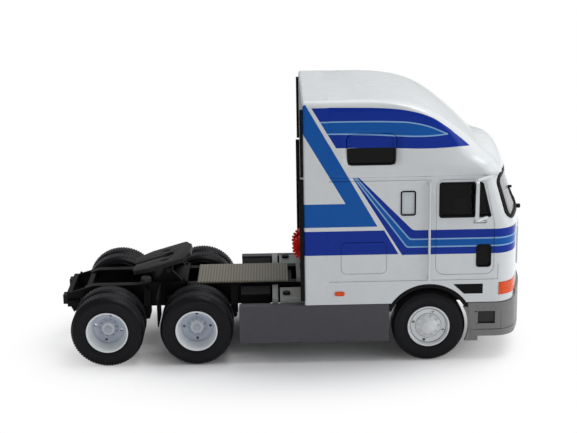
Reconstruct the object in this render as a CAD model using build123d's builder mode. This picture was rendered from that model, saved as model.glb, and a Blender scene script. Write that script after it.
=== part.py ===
from build123d import *
from math import cos, radians, sin, sqrt, tan
import os

# Cab-over tractor unit with a high-roof sleeper, a 1:43 scale model in millimetres.
# +X points to the nose, +Y to the vehicle's left, +Z up from the ground.
# The origin is on the ground, under the middle of the model's length.
# A value that ends in _set is a place along X from the front axle, positive ahead of it.

os.makedirs("parts", exist_ok=True)

# Lengths along the vehicle
front_overhang = 33.4        # front axle to the nose of the bumper
wheelbase = 77.4             # front axle to middle axle
bogie_spacing = 29.8         # middle axle to rear axle
rear_overhang = 16.8         # rear axle to the tail lamps
nose_x = (front_overhang + wheelbase + bogie_spacing + rear_overhang) / 2
front_axle_x = nose_x - front_overhang
mid_axle_x = front_axle_x - wheelbase
rear_axle_x = mid_axle_x - bogie_spacing
tail_x = rear_axle_x - rear_overhang

# Wheels, tyres and axle rods
tyre_radius = 12.2
rim_radius = 7.0
tyre_width = 6.7
twin_gap = 0.6
track_face = 28.5            # outer face of every outer tyre, from the middle
axle_rod_radius = 0.75
rod_clearance = 0.1          # rod in the bores that carry it
hand_hole_radius = 0.5
axle_z = tyre_radius
rod_bore_radius = axle_rod_radius + rod_clearance
twin_inner_y = track_face - 2 * tyre_width - twin_gap
front_inner_y = track_face - tyre_width

# Frame rails and what ties them together
rail_outer_y = 10.0
rail_flange = 3.0
rail_thickness = 0.9
rail_height = 7.5
rail_top_z = 22.5
rail_front_set = 22.0
tail_slope_length = 7.5
tail_slope_drop = 2.2
crossmember_thickness = 1.6
crossmember_height = 3.6
tail_beam_height = 5.2
tail_lamp_depth = 1.4
tail_lamp_width = 3.6
tail_lamp_height = 3.2
rail_bottom_z = rail_top_z - rail_height
rail_inner_y = rail_outer_y - rail_thickness
rail_middle_y = rail_outer_y - rail_flange / 2
rail_front_x = front_axle_x + rail_front_set
rail_rear_x = tail_x + tail_lamp_depth + crossmember_thickness
tail_beam_z = rail_top_z - tail_slope_drop - tail_beam_height / 2

# Cab
cab_half_width = 28.5
wall = 1.2
sill_z = 20.6
belt_z = 46.0                # height at which the windscreen starts to lean back
roof_seam_z = 64.0
seam_gap = 0.15              # open joint between neighbouring body pieces
cab_front_set = 32.6
cab_rear_set = -32.8
screen_lean = 6.0            # how far the front has moved back at the roof seam
crown_radius = 72.0          # bow of the front, seen from above
cab_corner_radius = 7.5
rear_notch_height = 3.0      # opening over the rails, under the cab's rear wall
groove_depth = 0.25
groove_width = 0.28
handle_recess_depth = 0.6
cab_front_x = front_axle_x + cab_front_set
cab_rear_x = front_axle_x + cab_rear_set
screen_top_x = cab_front_x - screen_lean

# Sleeper roof
roof_top_z = 89.2
visor_top_z = 68.6
visor_step = 0.3             # the visor stands ahead of the cab's top by this much
visor_lean = 3.0
fairing_angle = 40.0         # slope of the fairing's front, in degrees
fairing_bend_radius = 30.0
fairing_toe_set = 21.6       # foot of the slope
fairing_half_width = 28.2
fairing_nose_half_width = 23.5
fairing_taper_set = -4.0     # where its sides begin to draw in
taper_bend_radius = 60.0
shoulder_radius = 2.6
visor_edge_radius = 2.2
fairing_toe_x = front_axle_x + fairing_toe_set
roof_base_z = roof_seam_z + seam_gap

# Side and roof extender behind the cab
extender_length = 8.4
extender_wall = 1.0
rubber_bottom_z = 22.0
rubber_depth_upper = 0.9
rubber_depth_lower = 1.3
rubber_joint = 0.8           # between its upper and lower lengths
extender_rear_x = cab_rear_x - extender_length

# Wheel arch
arch_radius = 15.0
liner_band = 1.4
liner_depth = 7.0
liner_end_z = 17.6

# Bumper
bumper_side_top_z = 20.3
bumper_front_top_z = 22.8
bumper_bottom_z = 8.5
bumper_wheel_gap = 0.8
bumper_rear_rake = 1.3       # its rear edge is this much further forward at the bottom
bumper_wall = 1.3
bumper_return = 6.5          # depth of the wall turned in ahead of the wheel
raised_half_width = 22.5     # raised middle of the bumper, between the corner lamps
raised_sweep = 2.6           # width of the curve down from it
lip_split_z = 10.7
step_middle_set = 18.7       # tread let into each side
step_middle_z = 15.1
step_length = 6.8
step_height = 4.4
step_depth = 0.7
intake_half_width = 11.0     # slot across the front
intake_height = 3.0
intake_middle_z = 14.0
bumper_rear_x = front_axle_x + tyre_radius + bumper_wheel_gap

# Panes and lamps
glass_set = 0.25             # glass face below the skin
glass_thickness = 0.6
glass_gap = 0.05
lamp_height = 4.4
corner_lamp_set = 23.0       # rear end of the corner lamp
corner_lamp_inner_y = 21.6   # inner end of the corner lamp, round on the front
headlamp_inner_y = 12.6
lamp_gap = 0.1
lamp_proud = 0.2
lamp_base_z = bumper_front_top_z + seam_gap
lamp_top_z = lamp_base_z + lamp_height
marker_length = 3.4
marker_height = 1.5
marker_middle_set = -29.6
marker_middle_z = 24.4
roof_marker_length = 2.2
roof_marker_height = 0.9
roof_marker_drop = 2.0       # below the visor's top
roof_marker_y = (-17.0, -5.0, 0.0, 5.0, 17.0)
screen_half_width = 26.2
screen_head_half_width = 25.8
screen_base_z = 49.0
screen_head_z = 62.6
screen_corner_radius = 2.2
wiper_length = 9.2
wiper_width = 0.5
wiper_boss_radius = 0.7
wiper_lean = -20.0
wiper_y = (-9.0, 12.0)
wiper_lift = 0.05            # wipers and grille clear of the skin they lie on

# Grille
grille_half_width = 16.5
grille_base_z = 29.6
grille_top_z = 43.2
grille_frame = 1.1
grille_bar = 0.9
grille_bars = 6
grille_proud = 0.3
grille_backing = 0.15

# Deck, skirts, tanks and boxes
deck_thickness = 0.4
deck_half_width = 9.6
deck_front_gap = 5.3         # deck to the extender's rear edge
deck_rear_gap = 3.4          # deck to the fifth wheel's stand
rib_pitch = 1.0
rib_width = 0.45
rib_height = 0.2
skirt_bottom_z = 7.5
skirt_wall = 1.2
skirt_lip = 3.2              # lip turned in along the top
skirt_lip_thickness = 0.8
skirt_front_gap = 1.0        # skirt to the front tyre
skirt_rear_gap = 2.2         # skirt to the middle tyre
tank_inner_y = 10.8
tank_outer_y = 24.6
tank_top_z = 21.6
tank_bottom_z = 8.6
tank_corner_radius = 2.6
tank_front_set = -17.8
tank_cap_radius = 1.3
tank_cap_height = 0.8
box_outer_y = 19.5
box_length = 9.9
box_rear_gap = 0.5           # box ahead of the skirt's rear end
box_lift = 3.0               # box's bottom above the tank's
tank_bay = 3.3               # between box and tank, with an upright plate in it
bay_plate = 1.8
bracket_length = 2.4
bracket_height = 5.0
skirt_top_z = sill_z - seam_gap
skirt_front_x = front_axle_x - tyre_radius - skirt_front_gap
skirt_rear_x = mid_axle_x + tyre_radius + skirt_rear_gap
box_rear_x = skirt_rear_x + box_rear_gap
tank_rear_x = box_rear_x + box_length + tank_bay
tank_front_x = front_axle_x + tank_front_set

# Fifth wheel
plate_pivot_set_back = 10.1  # pivot behind the middle axle
plate_pivot_z = 27.0
plate_tilt = 16.0            # rear edge down, as it rests unloaded
plate_length_rear = 11.5
plate_length_front = 8.6
plate_half_width = 9.6
plate_thickness = 1.5
plate_under = 1.6            # pivot centre to the plate's underside
throat_radius = 1.25
pivot_pin_radius = 0.8
pin_clearance = 0.1
bracket_wall = 1.2
ear_wall = 1.6
stand_thickness = 1.0
stand_front = 6.5            # stand's ends from the pivot
stand_rear = 8.5
rest_reach = 6.8             # rests behind the pivot
rest_size = 2.0
rest_gap = 0.1               # between the plate and the rests under its rear half
pivot_x = mid_axle_x - plate_pivot_set_back
deck_rear_x = pivot_x + stand_front + deck_rear_gap
deck_front_x = extender_rear_x - deck_front_gap

# Rear suspension
hanger_set_ahead = 12.4      # hanger ahead of each rear axle
hanger_length = 2.4
air_spring_set_back = 8.2    # air spring behind each rear axle
air_spring_radius = 2.6
air_spring_height = 5.9
air_spring_gap = 0.6         # to the rail and to the wheel
housing_radius = 1.9
arm_height = 1.8
arm_width = 2.4
arm_y = 12.2
flap_set_back = 14.3         # mud flap behind the middle axle
flap_width = 12.0
flap_height = 10.0
flap_thickness = 0.5
flap_bar = 0.9

# Inside of the cab
floor_z = 28.9
floor_thickness = 1.0
seat_y = 15.0
seat_width = 11.0
seat_length = 12.0
seat_height = 9.5
seat_back_height = 25.0
seat_set = 1.0
bunk_front_set = -9.0
bunk_height = 12.0
dash_length = 11.0
dash_rise = 1.8              # dashboard's top above the belt line
steering_radius = 4.4
steering_rim_radius = 0.4
inside_gap = 0.1
seat_base_z = floor_z + floor_thickness


def plan_outline(front_x, rear_x, half_width, corner_radius, bow):
    """Cab outline seen from above: a bowed front with rounded corners."""
    side_x = front_x - (bow - sqrt(bow**2 - half_width**2))
    with BuildSketch() as outline:
        with BuildLine():
            Polyline((side_x, -half_width), (rear_x, -half_width), (rear_x, half_width), (side_x, half_width))
            ThreePointArc((side_x, half_width), (front_x, 0), (side_x, -half_width))
        make_face()
        fillet(outline.vertices().group_by(Axis.X)[-1], corner_radius)
    return outline.sketch


def body_plan(front_x, rear_x, inset):
    """Plan of the cab or bumper between two ends, drawn in by a wall."""
    return plan_outline(
        front_x - inset, rear_x + inset, cab_half_width - inset, cab_corner_radius - inset, crown_radius - inset
    )


def cab_form(inset=0.0):
    """The cab's outer form, drawn in by a wall or, below nought, swollen."""
    with BuildPart() as form:
        with BuildSketch(Plane.XY.offset(sill_z)):
            add(body_plan(cab_front_x, cab_rear_x, inset))
        extrude(amount=belt_z - sill_z)
        with BuildSketch(Plane.XY.offset(belt_z)):
            add(body_plan(cab_front_x, cab_rear_x, inset))
        with BuildSketch(Plane.XY.offset(roof_seam_z)):
            add(body_plan(screen_top_x, cab_rear_x, inset))
        loft()
    return form.part


def fairing_form(inset=0.0):
    """The sloped fairing of the roof: its side view and its plan, crossed."""
    top_z = roof_top_z - inset
    toe_x, toe_z = fairing_toe_x - inset, visor_top_z - inset - 1.0
    rear_x, taper_x = cab_rear_x + inset, front_axle_x + fairing_taper_set
    side_y, nose_y = fairing_half_width - inset, fairing_nose_half_width - inset
    slope = radians(fairing_angle)
    crest_x = toe_x - (top_z - toe_z) / tan(slope)
    widest_bend = 0.9 * min(crest_x - rear_x, (top_z - toe_z) / sin(slope)) / tan(slope / 2)
    with BuildPart() as fairing:
        with BuildSketch(Plane.XZ):
            with BuildLine():
                Polyline(
                    (rear_x, roof_base_z),
                    (rear_x, top_z),
                    (crest_x, top_z),
                    (toe_x, toe_z),
                    (toe_x, roof_base_z),
                    close=True,
                )
            side = make_face()
            crest = side.vertices().group_by(Axis.Y)[-1].sort_by(Axis.X)[-1]
            fillet(crest, min(fairing_bend_radius - inset, widest_bend))
        extrude(amount=side_y, both=True)
        with BuildSketch(Plane.XY.offset(roof_base_z)):
            with BuildLine():
                nose_end_x = toe_x + visor_lean
                Polyline(
                    (nose_end_x, -nose_y),
                    (taper_x, -side_y),
                    (rear_x, -side_y),
                    (rear_x, side_y),
                    (taper_x, side_y),
                    (nose_end_x, nose_y),
                    close=True,
                )
            plan = make_face()
            fillet(plan.vertices().filter_by(lambda v: abs(v.X - taper_x) < 0.1), taper_bend_radius)
        extrude(amount=top_z - roof_base_z, mode=Mode.INTERSECT)
        if inset == 0:
            sides = fairing.edges().filter_by(lambda e: abs((e @ 0.5).Y) > nose_y - 0.5)
            upper = sides.filter_by(lambda e: (e @ 0.5).Z > visor_top_z + 1 and (e @ 0.5).X > rear_x + 0.5)
            fillet(upper.filter_by(Axis.Z, reverse=True), shoulder_radius)
    return fairing.part


def roof_form(inset=0.0):
    """Sleeper roof: a visor band over the windscreen with the fairing on it."""
    base_x = screen_top_x + visor_step
    fairing = fairing_form(inset)
    with BuildPart() as form:
        with BuildSketch(Plane.XY.offset(roof_base_z)):
            add(body_plan(base_x, cab_rear_x, inset))
        with BuildSketch(Plane.XY.offset(visor_top_z - inset)):
            add(body_plan(base_x - visor_lean, cab_rear_x, inset))
        loft()
        if inset == 0:
            rim = form.edges().group_by(Axis.Z)[-1].filter_by(lambda e: e.center().X > cab_rear_x + 1)
            fillet(rim, visor_edge_radius)
        add(fairing)
    return form.part


def layer(outer, inner, prism):
    """What lies inside a prism between two forms, such as a pane or a lamp's face."""
    with BuildPart() as slab:
        add(prism)
        add(outer, mode=Mode.INTERSECT)
        add(inner, mode=Mode.SUBTRACT)
    return slab.part


def side_prism(outline):
    """A side-view outline carried right through both sides of the vehicle."""
    with BuildPart() as prism:
        with BuildSketch(Plane.XZ):
            add(outline)
        extrude(amount=cab_half_width + wall, both=True)
    return prism.part


def front_prism(outline):
    """A front-view outline carried back through the cab's front."""
    with BuildPart() as prism:
        with BuildSketch(Plane.YZ.offset(screen_top_x - 1.5 * cab_corner_radius)):
            add(outline)
        extrude(amount=3 * cab_corner_radius + screen_lean)
    return prism.part


def side_outline(points, corner_radius, shrink=0.0):
    """A rounded outline in the side view, from points along X from the front axle and Z."""
    with BuildSketch() as outline:
        with BuildLine():
            Polyline(*[(front_axle_x + set_x, z) for set_x, z in points], close=True)
        make_face()
        fillet(outline.vertices(), corner_radius)
        if shrink:
            offset(amount=-shrink, mode=Mode.REPLACE)
    return outline.sketch


def ring_outline(points, corner_radius):
    """The line of a shut panel: a narrow ring inside the panel's edge."""
    with BuildSketch() as ring:
        add(side_outline(points, corner_radius))
        add(side_outline(points, corner_radius, groove_width), mode=Mode.SUBTRACT)
    return ring.sketch


def front_outline(half_width, low_z, high_z, corner_radius):
    """A rounded rectangle about the middle of the front view."""
    with BuildSketch() as outline:
        with Locations((0, (low_z + high_z) / 2)):
            RectangleRounded(2 * half_width, high_z - low_z, corner_radius)
    return outline.sketch


def screen_outline(gap=0.0):
    """The windscreen in the front view: narrower at its head."""
    low_y, high_y = screen_half_width - gap, screen_head_half_width - gap
    low_z, high_z = screen_base_z + gap, screen_head_z - gap
    with BuildSketch() as outline:
        with BuildLine():
            Polyline((-low_y, low_z), (low_y, low_z), (high_y, high_z), (-high_y, high_z), close=True)
        make_face()
        fillet(outline.vertices(), screen_corner_radius)
    return outline.sketch


def raised_outline(gap=0.0):
    """The bumper's raised middle in the front view, down to its side height."""
    top_y, low_y = raised_half_width + gap, raised_half_width + raised_sweep + gap
    top_z, low_z = bumper_front_top_z + gap, bumper_side_top_z + gap
    with BuildSketch() as outline:
        with BuildLine():
            Line((-top_y, top_z), (top_y, top_z))
            TangentArc((top_y, top_z), (low_y, low_z), tangent=(0.1, -1))
            Polyline((low_y, low_z), (low_y, low_z - wall), (-low_y, low_z - wall), (-low_y, low_z))
            TangentArc((-top_y, top_z), (-low_y, low_z), tangent=(-0.1, -1))
        make_face()
    return outline.sketch


def lamp_prism(inner_y, outer_y, gap):
    """The block that a lamp fills, on each side of the nose."""
    rear_x, ahead_x = front_axle_x + corner_lamp_set + gap, nose_x + wall
    with BuildPart() as prism:
        for side in (-1, 1):
            with Locations(((rear_x + ahead_x) / 2, side * (inner_y + outer_y) / 2, (lamp_base_z + lamp_top_z) / 2)):
                Box(ahead_x - rear_x, outer_y - inner_y - 2 * gap, lamp_height - 2 * gap)
    return prism.part


# Side openings: points round the edge, then the corner radius
door_window = [(3.1, 50.0), (19.5, 50.0), (16.6, 61.7), (3.1, 61.7)], 0.9
low_window = [(15.3, 32.8), (20.3, 32.8), (20.3, 40.6), (15.3, 40.6)], 1.0
bunk_window = [(-9.6, 50.9), (-4.6, 50.9), (-4.6, 59.3), (-9.6, 59.3)], 0.8
loft_window = [(-26.7, 68.1), (-11.4, 68.1), (-11.4, 78.0), (-26.7, 78.0)], 1.6
side_vent = [(11.6, 23.5), (17.8, 23.5), (17.8, 27.0), (7.9, 27.0)], 0.15

# Shut lines and the recess of the door handle, in the same way
door_line = [(1.9, 30.3), (21.4, 30.3), (21.2, 47.8), (18.0, 63.0), (1.9, 63.0)], 3.0
hatch_line = [(-29.2, 31.1), (-14.0, 31.1), (-14.0, 42.2), (-29.2, 42.2)], 2.0
door_handle = [(14.2, 47.8), (18.6, 47.8), (18.6, 49.0), (14.2, 49.0)], 0.5

# Straight lines on the cab's sides: rear and front end, then low and high Z
waist_line = cab_rear_set, 22.8, 28.4, 28.4 + groove_width
panel_joint = 22.8 - groove_width, 22.8, 28.4, 34.0
drip_line = cab_rear_set, -1.2, 62.7, 62.7 + groove_width

cab_outer = cab_form()
cab_inner = cab_form(wall)
cab_groove = cab_form(groove_depth)
screen = screen_outline()
screen_pane = screen_outline(glass_gap)

# Cab shell: one hollow casting, with grooves for its doors and hatches
with BuildPart() as cab_shell:
    add(cab_outer)
    add(cab_inner, mode=Mode.SUBTRACT)
    for points, corner in (door_window, low_window, bunk_window, side_vent):
        add(side_prism(side_outline(points, corner)), mode=Mode.SUBTRACT)
    add(front_prism(screen), mode=Mode.SUBTRACT)
    add(lamp_prism(headlamp_inner_y, cab_half_width + wall, 0.0), mode=Mode.SUBTRACT)
    for points, corner in (door_line, hatch_line):
        add(layer(cab_outer, cab_groove, side_prism(ring_outline(points, corner))), mode=Mode.SUBTRACT)
    with BuildSketch() as straight_lines:
        for low_set, high_set, low_z, high_z in (waist_line, panel_joint, drip_line):
            with Locations((front_axle_x + (low_set + high_set) / 2, (low_z + high_z) / 2)):
                Rectangle(high_set - low_set, high_z - low_z)
    add(layer(cab_outer, cab_groove, side_prism(straight_lines.sketch)), mode=Mode.SUBTRACT)
    handle_form = cab_form(handle_recess_depth)
    add(layer(cab_outer, handle_form, side_prism(side_outline(*door_handle))), mode=Mode.SUBTRACT)
    # way for the rails and tanks, under the rear wall
    with Locations((cab_rear_x, 0, sill_z)):
        Box(3 * wall, 2 * (cab_half_width - wall), 2 * rear_notch_height, mode=Mode.SUBTRACT)
    # way for the raised middle of the bumper, under the front wall
    with BuildSketch(Plane.YZ.offset(cab_front_x - cab_corner_radius)):
        add(raised_outline(seam_gap))
    extrude(amount=2 * cab_corner_radius, mode=Mode.SUBTRACT)
    # round mouth of the wheel arch in each side
    with BuildSketch(Plane.XZ):
        with Locations((front_axle_x, axle_z)):
            Circle(arch_radius)
    extrude(amount=cab_half_width + wall, both=True, mode=Mode.SUBTRACT)

# Roof: hollow, with its side windows cut
roof_outer = roof_form()
with BuildPart() as roof_fairing:
    add(roof_outer)
    add(roof_form(wall), mode=Mode.SUBTRACT)
    add(side_prism(side_outline(*loft_window)), mode=Mode.SUBTRACT)

# Extender: two side panels joined over the top, behind the cab
hoop_height = roof_top_z - sill_z
with BuildPart() as air_extender:
    with BuildSketch(Plane.YZ.offset(extender_rear_x)):
        with Locations((0, sill_z + hoop_height / 2)):
            hoop = Rectangle(2 * cab_half_width, hoop_height)
        fillet(hoop.vertices().group_by(Axis.Y)[-1], shoulder_radius)
        with Locations((0, sill_z + (hoop_height - extender_wall) / 2)):
            Rectangle(2 * (cab_half_width - extender_wall), hoop_height - extender_wall, mode=Mode.SUBTRACT)
    extrude(amount=extender_length)
    rear_edge = air_extender.edges().filter_by(Axis.Y).group_by(Axis.Z)[-1].sort_by(Axis.X)[0]
    fillet(rear_edge, 0.8 * extender_wall)

# Black rubber along the rear edges of the extender, in an upper and a lower length
with BuildPart() as edge_rubbers:
    for low_z, high_z, depth in (
        (rubber_bottom_z, roof_seam_z - rubber_joint / 2, rubber_depth_lower),
        (roof_seam_z + rubber_joint / 2, roof_top_z - shoulder_radius, rubber_depth_upper),
    ):
        for side in (-1, 1):
            rubber_y = side * (cab_half_width - extender_wall / 2)
            with Locations((extender_rear_x - depth / 2, rubber_y, (low_z + high_z) / 2)):
                Box(depth, extender_wall, high_z - low_z)

# Panes: each lies in its opening, a little below the skin
glass_outer, glass_inner = cab_form(glass_set), cab_form(glass_set + glass_thickness)
with BuildPart() as windscreen:
    add(layer(glass_outer, glass_inner, front_prism(screen_pane)))
with BuildPart() as door_glass:
    for points, corner in (door_window, low_window):
        add(layer(glass_outer, glass_inner, side_prism(side_outline(points, corner, glass_gap))))
with BuildPart() as bunk_glass:
    points, corner = bunk_window
    add(layer(glass_outer, glass_inner, side_prism(side_outline(points, corner, glass_gap))))
with BuildPart() as loft_glass:
    points, corner = loft_window
    pane_prism = side_prism(side_outline(points, corner, glass_gap))
    add(layer(roof_form(glass_set), roof_form(glass_set + glass_thickness), pane_prism))

# Black vents above the front of the wheel arch
with BuildPart() as side_vents:
    points, corner = side_vent
    add(layer(cab_groove, cab_inner, side_prism(side_outline(points, corner, glass_gap))))

# Lamps: corner lamps wrap the nose, headlamps lie beside them, markers stand on the skin
lamp_outer, lamp_inner = cab_form(-lamp_proud), cab_form(wall - lamp_proud)
with BuildPart() as corner_lamps:
    add(layer(lamp_outer, lamp_inner, lamp_prism(corner_lamp_inner_y, cab_half_width + wall, lamp_gap)))
with BuildPart() as headlamps:
    add(layer(cab_outer, cab_inner, lamp_prism(headlamp_inner_y, corner_lamp_inner_y, lamp_gap)))
with BuildPart() as marker_lamps:
    with BuildSketch() as side_marker:
        with Locations((front_axle_x + marker_middle_set, marker_middle_z)):
            SlotOverall(marker_length, marker_height)
    add(layer(lamp_outer, cab_outer, side_prism(side_marker.sketch)))
    with BuildSketch() as roof_markers:
        for lamp_y in roof_marker_y:
            with Locations((lamp_y, visor_top_z - roof_marker_drop)):
                SlotOverall(roof_marker_length, roof_marker_height)
    add(layer(roof_form(-lamp_proud), roof_outer, front_prism(roof_markers.sketch)))

# Grille: a frame and bars on a shallow backing, set on the cab's front
grille_outer = cab_form(-grille_proud - wiper_lift)
with BuildPart() as grille:
    opening_height = grille_top_z - grille_base_z - 2 * grille_frame
    bar_pitch = opening_height / grille_bars
    face = front_outline(grille_half_width, grille_base_z, grille_top_z, grille_frame)
    add(layer(grille_outer, cab_form(-wiper_lift), front_prism(face)))
    with BuildSketch() as slots:
        with Locations((0, (grille_base_z + grille_top_z) / 2)):
            with GridLocations(grille_half_width - grille_frame / 2, bar_pitch, 2, grille_bars):
                Rectangle(grille_half_width - 1.5 * grille_frame, bar_pitch - grille_bar)
    backing = cab_form(-wiper_lift - grille_backing)
    add(layer(cab_form(-2 * grille_proud), backing, front_prism(slots.sketch)), mode=Mode.SUBTRACT)

# Wipers on the windscreen: an arm and its blade each
with BuildPart() as wipers:
    with BuildSketch() as wiper_view:
        for pivot_y in wiper_y:
            with Locations(Location((pivot_y, screen_base_z - wiper_boss_radius, 0), (0, 0, wiper_lean))):
                Circle(wiper_boss_radius)
                with Locations((0, wiper_length / 2)):
                    Rectangle(wiper_width, wiper_length)
                with Locations((wiper_width, 0.75 * wiper_length)):
                    Rectangle(1.1 * wiper_width, wiper_length)
    add(layer(grille_outer, cab_form(-wiper_lift), front_prism(wiper_view.sketch)))

# Bumper: wraps the nose back to the wheel arches, with a wall turned in ahead of each wheel
bumper_height = bumper_front_top_z - bumper_bottom_z
with BuildPart() as bumper:
    with BuildSketch(Plane.XY.offset(bumper_bottom_z)):
        add(body_plan(nose_x, bumper_rear_x, 0.0))
        add(body_plan(nose_x, bumper_rear_x + bumper_rear_rake, bumper_wall), mode=Mode.SUBTRACT)
    extrude(amount=bumper_height)
    # rear wall kept only at the sides, where it is turned in, and raked
    with Locations((bumper_rear_x, 0, bumper_bottom_z + bumper_height / 2)):
        Box(bumper_return, 2 * (cab_half_width - bumper_return), bumper_height, mode=Mode.SUBTRACT)
    with BuildSketch(Plane.XZ):
        with BuildLine():
            Polyline(
                (bumper_rear_x - bumper_rear_rake, bumper_front_top_z),
                (bumper_rear_x, bumper_front_top_z),
                (bumper_rear_x, bumper_side_top_z),
                (bumper_rear_x + bumper_rear_rake, bumper_bottom_z),
                (bumper_rear_x - bumper_rear_rake, bumper_bottom_z),
                close=True,
            )
        make_face()
    extrude(amount=cab_half_width + wall, both=True, mode=Mode.SUBTRACT)
    # top edge: low along the sides, swept up to the raised middle
    with BuildSketch(Plane.YZ.offset(bumper_rear_x - bumper_rear_rake)):
        with Locations((0, (bumper_side_top_z + bumper_front_top_z) / 2)):
            Rectangle(2 * (cab_half_width + wall), bumper_front_top_z - bumper_side_top_z)
        add(raised_outline(), mode=Mode.SUBTRACT)
    extrude(amount=front_overhang, mode=Mode.SUBTRACT)
    # split line of the lower lip
    with BuildSketch(Plane.XY.offset(lip_split_z)):
        add(body_plan(nose_x, bumper_rear_x, -wall))
        add(body_plan(nose_x, bumper_rear_x - 2 * groove_depth, groove_depth), mode=Mode.SUBTRACT)
    extrude(amount=groove_width, mode=Mode.SUBTRACT)
    # steps in the sides and the slot across the front
    for side in (-1, 1):
        with Locations((front_axle_x + step_middle_set, side * cab_half_width, step_middle_z)):
            Box(step_length, 2 * step_depth, step_height, mode=Mode.SUBTRACT)
    with BuildSketch(Plane.YZ.offset(nose_x - 2 * bumper_wall)):
        with Locations((0, intake_middle_z)):
            RectangleRounded(2 * intake_half_width, intake_height, intake_height / 3)
    extrude(amount=3 * bumper_wall, mode=Mode.SUBTRACT)

# Frame rails: two channels, open towards each other, their tail ends sloped on top
with BuildPart() as frame_rails:
    for side in (-1, 1):
        with BuildSketch(Plane.YZ.offset(rail_rear_x)):
            with Locations((side * rail_middle_y, rail_top_z - rail_height / 2)):
                Rectangle(rail_flange, rail_height)
            with Locations((side * (rail_middle_y - rail_thickness), rail_top_z - rail_height / 2)):
                Rectangle(rail_flange, rail_height - 2 * rail_thickness, mode=Mode.SUBTRACT)
        extrude(amount=rail_front_x - rail_rear_x)
    with BuildSketch(Plane.XZ):
        with BuildLine():
            Polyline(
                (rail_rear_x, rail_top_z - tail_slope_drop),
                (rail_rear_x + tail_slope_length, rail_top_z),
                (rail_rear_x, rail_top_z),
                close=True,
            )
        make_face()
    extrude(amount=rail_outer_y + wall, both=True, mode=Mode.SUBTRACT)

# Crossmembers between the rails' webs, and the beam across the tail
crossmember_places = (
    rail_front_x - 2 * crossmember_thickness,
    tank_front_x - 5 * crossmember_thickness,
    extender_rear_x - 3 * crossmember_thickness,
    deck_rear_x + 4 * crossmember_thickness,
    pivot_x - 2 * crossmember_thickness,
    rear_axle_x - 5 * crossmember_thickness,
)
with BuildPart() as crossmembers:
    for place_x in crossmember_places:
        with Locations((place_x, 0, rail_top_z - rail_thickness - crossmember_height / 2)):
            Box(crossmember_thickness, 2 * rail_inner_y, crossmember_height)
    with Locations((rail_rear_x - crossmember_thickness / 2, 0, tail_beam_z)):
        Box(crossmember_thickness, 2 * rail_outer_y, tail_beam_height)

# Tail lamps on the tail beam, and the plates that hang outside the rails beside it
with BuildPart() as tail_lamps:
    for side in (-1, 1):
        lamp_y = side * (rail_outer_y - tail_lamp_width / 2)
        with Locations((tail_x + tail_lamp_depth / 2, lamp_y, tail_beam_z)):
            Box(tail_lamp_depth, tail_lamp_width, tail_lamp_height)
with BuildPart() as tail_hangers:
    for side in (-1, 1):
        with BuildSketch(Plane.XZ.offset(-side * rail_outer_y)):
            with BuildLine():
                Polyline(
                    (rail_rear_x - crossmember_thickness, tail_beam_z),
                    (rail_rear_x + tail_beam_height / 2, tail_beam_z),
                    (rail_rear_x + tail_beam_height / 3, rail_bottom_z - 0.6),
                    (rail_rear_x + tail_beam_height / 8, rail_bottom_z - 1.4),
                    (rail_rear_x, rail_bottom_z),
                    close=True,
                )
            make_face()
        extrude(amount=-side * wall)

# Deck plate: ribbed walkway on top of the rails behind the cab
deck_length = deck_front_x - deck_rear_x
deck_middle_x = (deck_front_x + deck_rear_x) / 2
with BuildPart() as deck_plate:
    with Locations((deck_middle_x, 0, rail_top_z + deck_thickness / 2)):
        Box(deck_length, 2 * deck_half_width, deck_thickness)
    with Locations((deck_middle_x, 0, rail_top_z + deck_thickness + rib_height / 2)):
        with GridLocations(rib_pitch, 1, int(deck_length / rib_pitch) - 1, 1):
            Box(rib_width, 2 * deck_half_width - 2 * rib_width, rib_height)

# Bar across the rails between the deck and the extender
mount_bar_width = 1.4
mount_bar_height = 1.8
mount_bar_x = extender_rear_x - 1.6
with BuildPart() as rear_cab_mount:
    with Locations((mount_bar_x, 0, rail_top_z + mount_bar_height / 2)):
        Box(mount_bar_width, 2 * rail_outer_y, mount_bar_height)

# Engine, one block hung between the rails under the cab
engine_length = 26.0
engine_half_width = 6.4
engine_height = 7.0
engine_drop = 1.5            # below the rails' top
engine_set = -8.0
sump_height = 2.0
mount_length = 3.0
engine_x = front_axle_x + engine_set
engine_top_z = rail_top_z - engine_drop
with BuildPart() as engine_block:
    with Locations((engine_x, 0, engine_top_z - engine_height / 2)):
        Box(engine_length, 2 * engine_half_width, engine_height)
    with Locations((engine_x - mount_length, 0, engine_top_z - engine_height - sump_height / 2)):
        Box(engine_length / 2, 1.2 * engine_half_width, sump_height)
    for side in (-1, 1):
        with Locations((engine_x, side * (engine_half_width + rail_inner_y) / 2, engine_top_z - engine_height / 2)):
            Box(mount_length, rail_inner_y - engine_half_width, sump_height)

# Front axle: a beam with the rod through it, on leaf springs under the rails
beam_height = 2.6
beam_width = 3.2
beam_end_gap = 0.8
leaf_half_lengths = (5.0, 8.5, 13.0)
with BuildPart() as front_axle_beam:
    with Locations((front_axle_x, 0, axle_z)):
        Box(beam_width, 2 * (front_inner_y - beam_end_gap), beam_height)
    with BuildSketch(Plane.XZ):
        with Locations((front_axle_x, axle_z)):
            Circle(rod_bore_radius)
    extrude(amount=front_inner_y, both=True, mode=Mode.SUBTRACT)
with BuildPart() as front_springs:
    beam_top_z = axle_z + beam_height / 2
    leaf = (rail_bottom_z - beam_top_z) / len(leaf_half_lengths)
    for side in (-1, 1):
        for step, half_length in enumerate(leaf_half_lengths):
            with Locations((front_axle_x, side * rail_middle_y, beam_top_z + leaf * (step + 0.5))):
                Box(2 * half_length, 0.8 * rail_flange, leaf)

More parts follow.
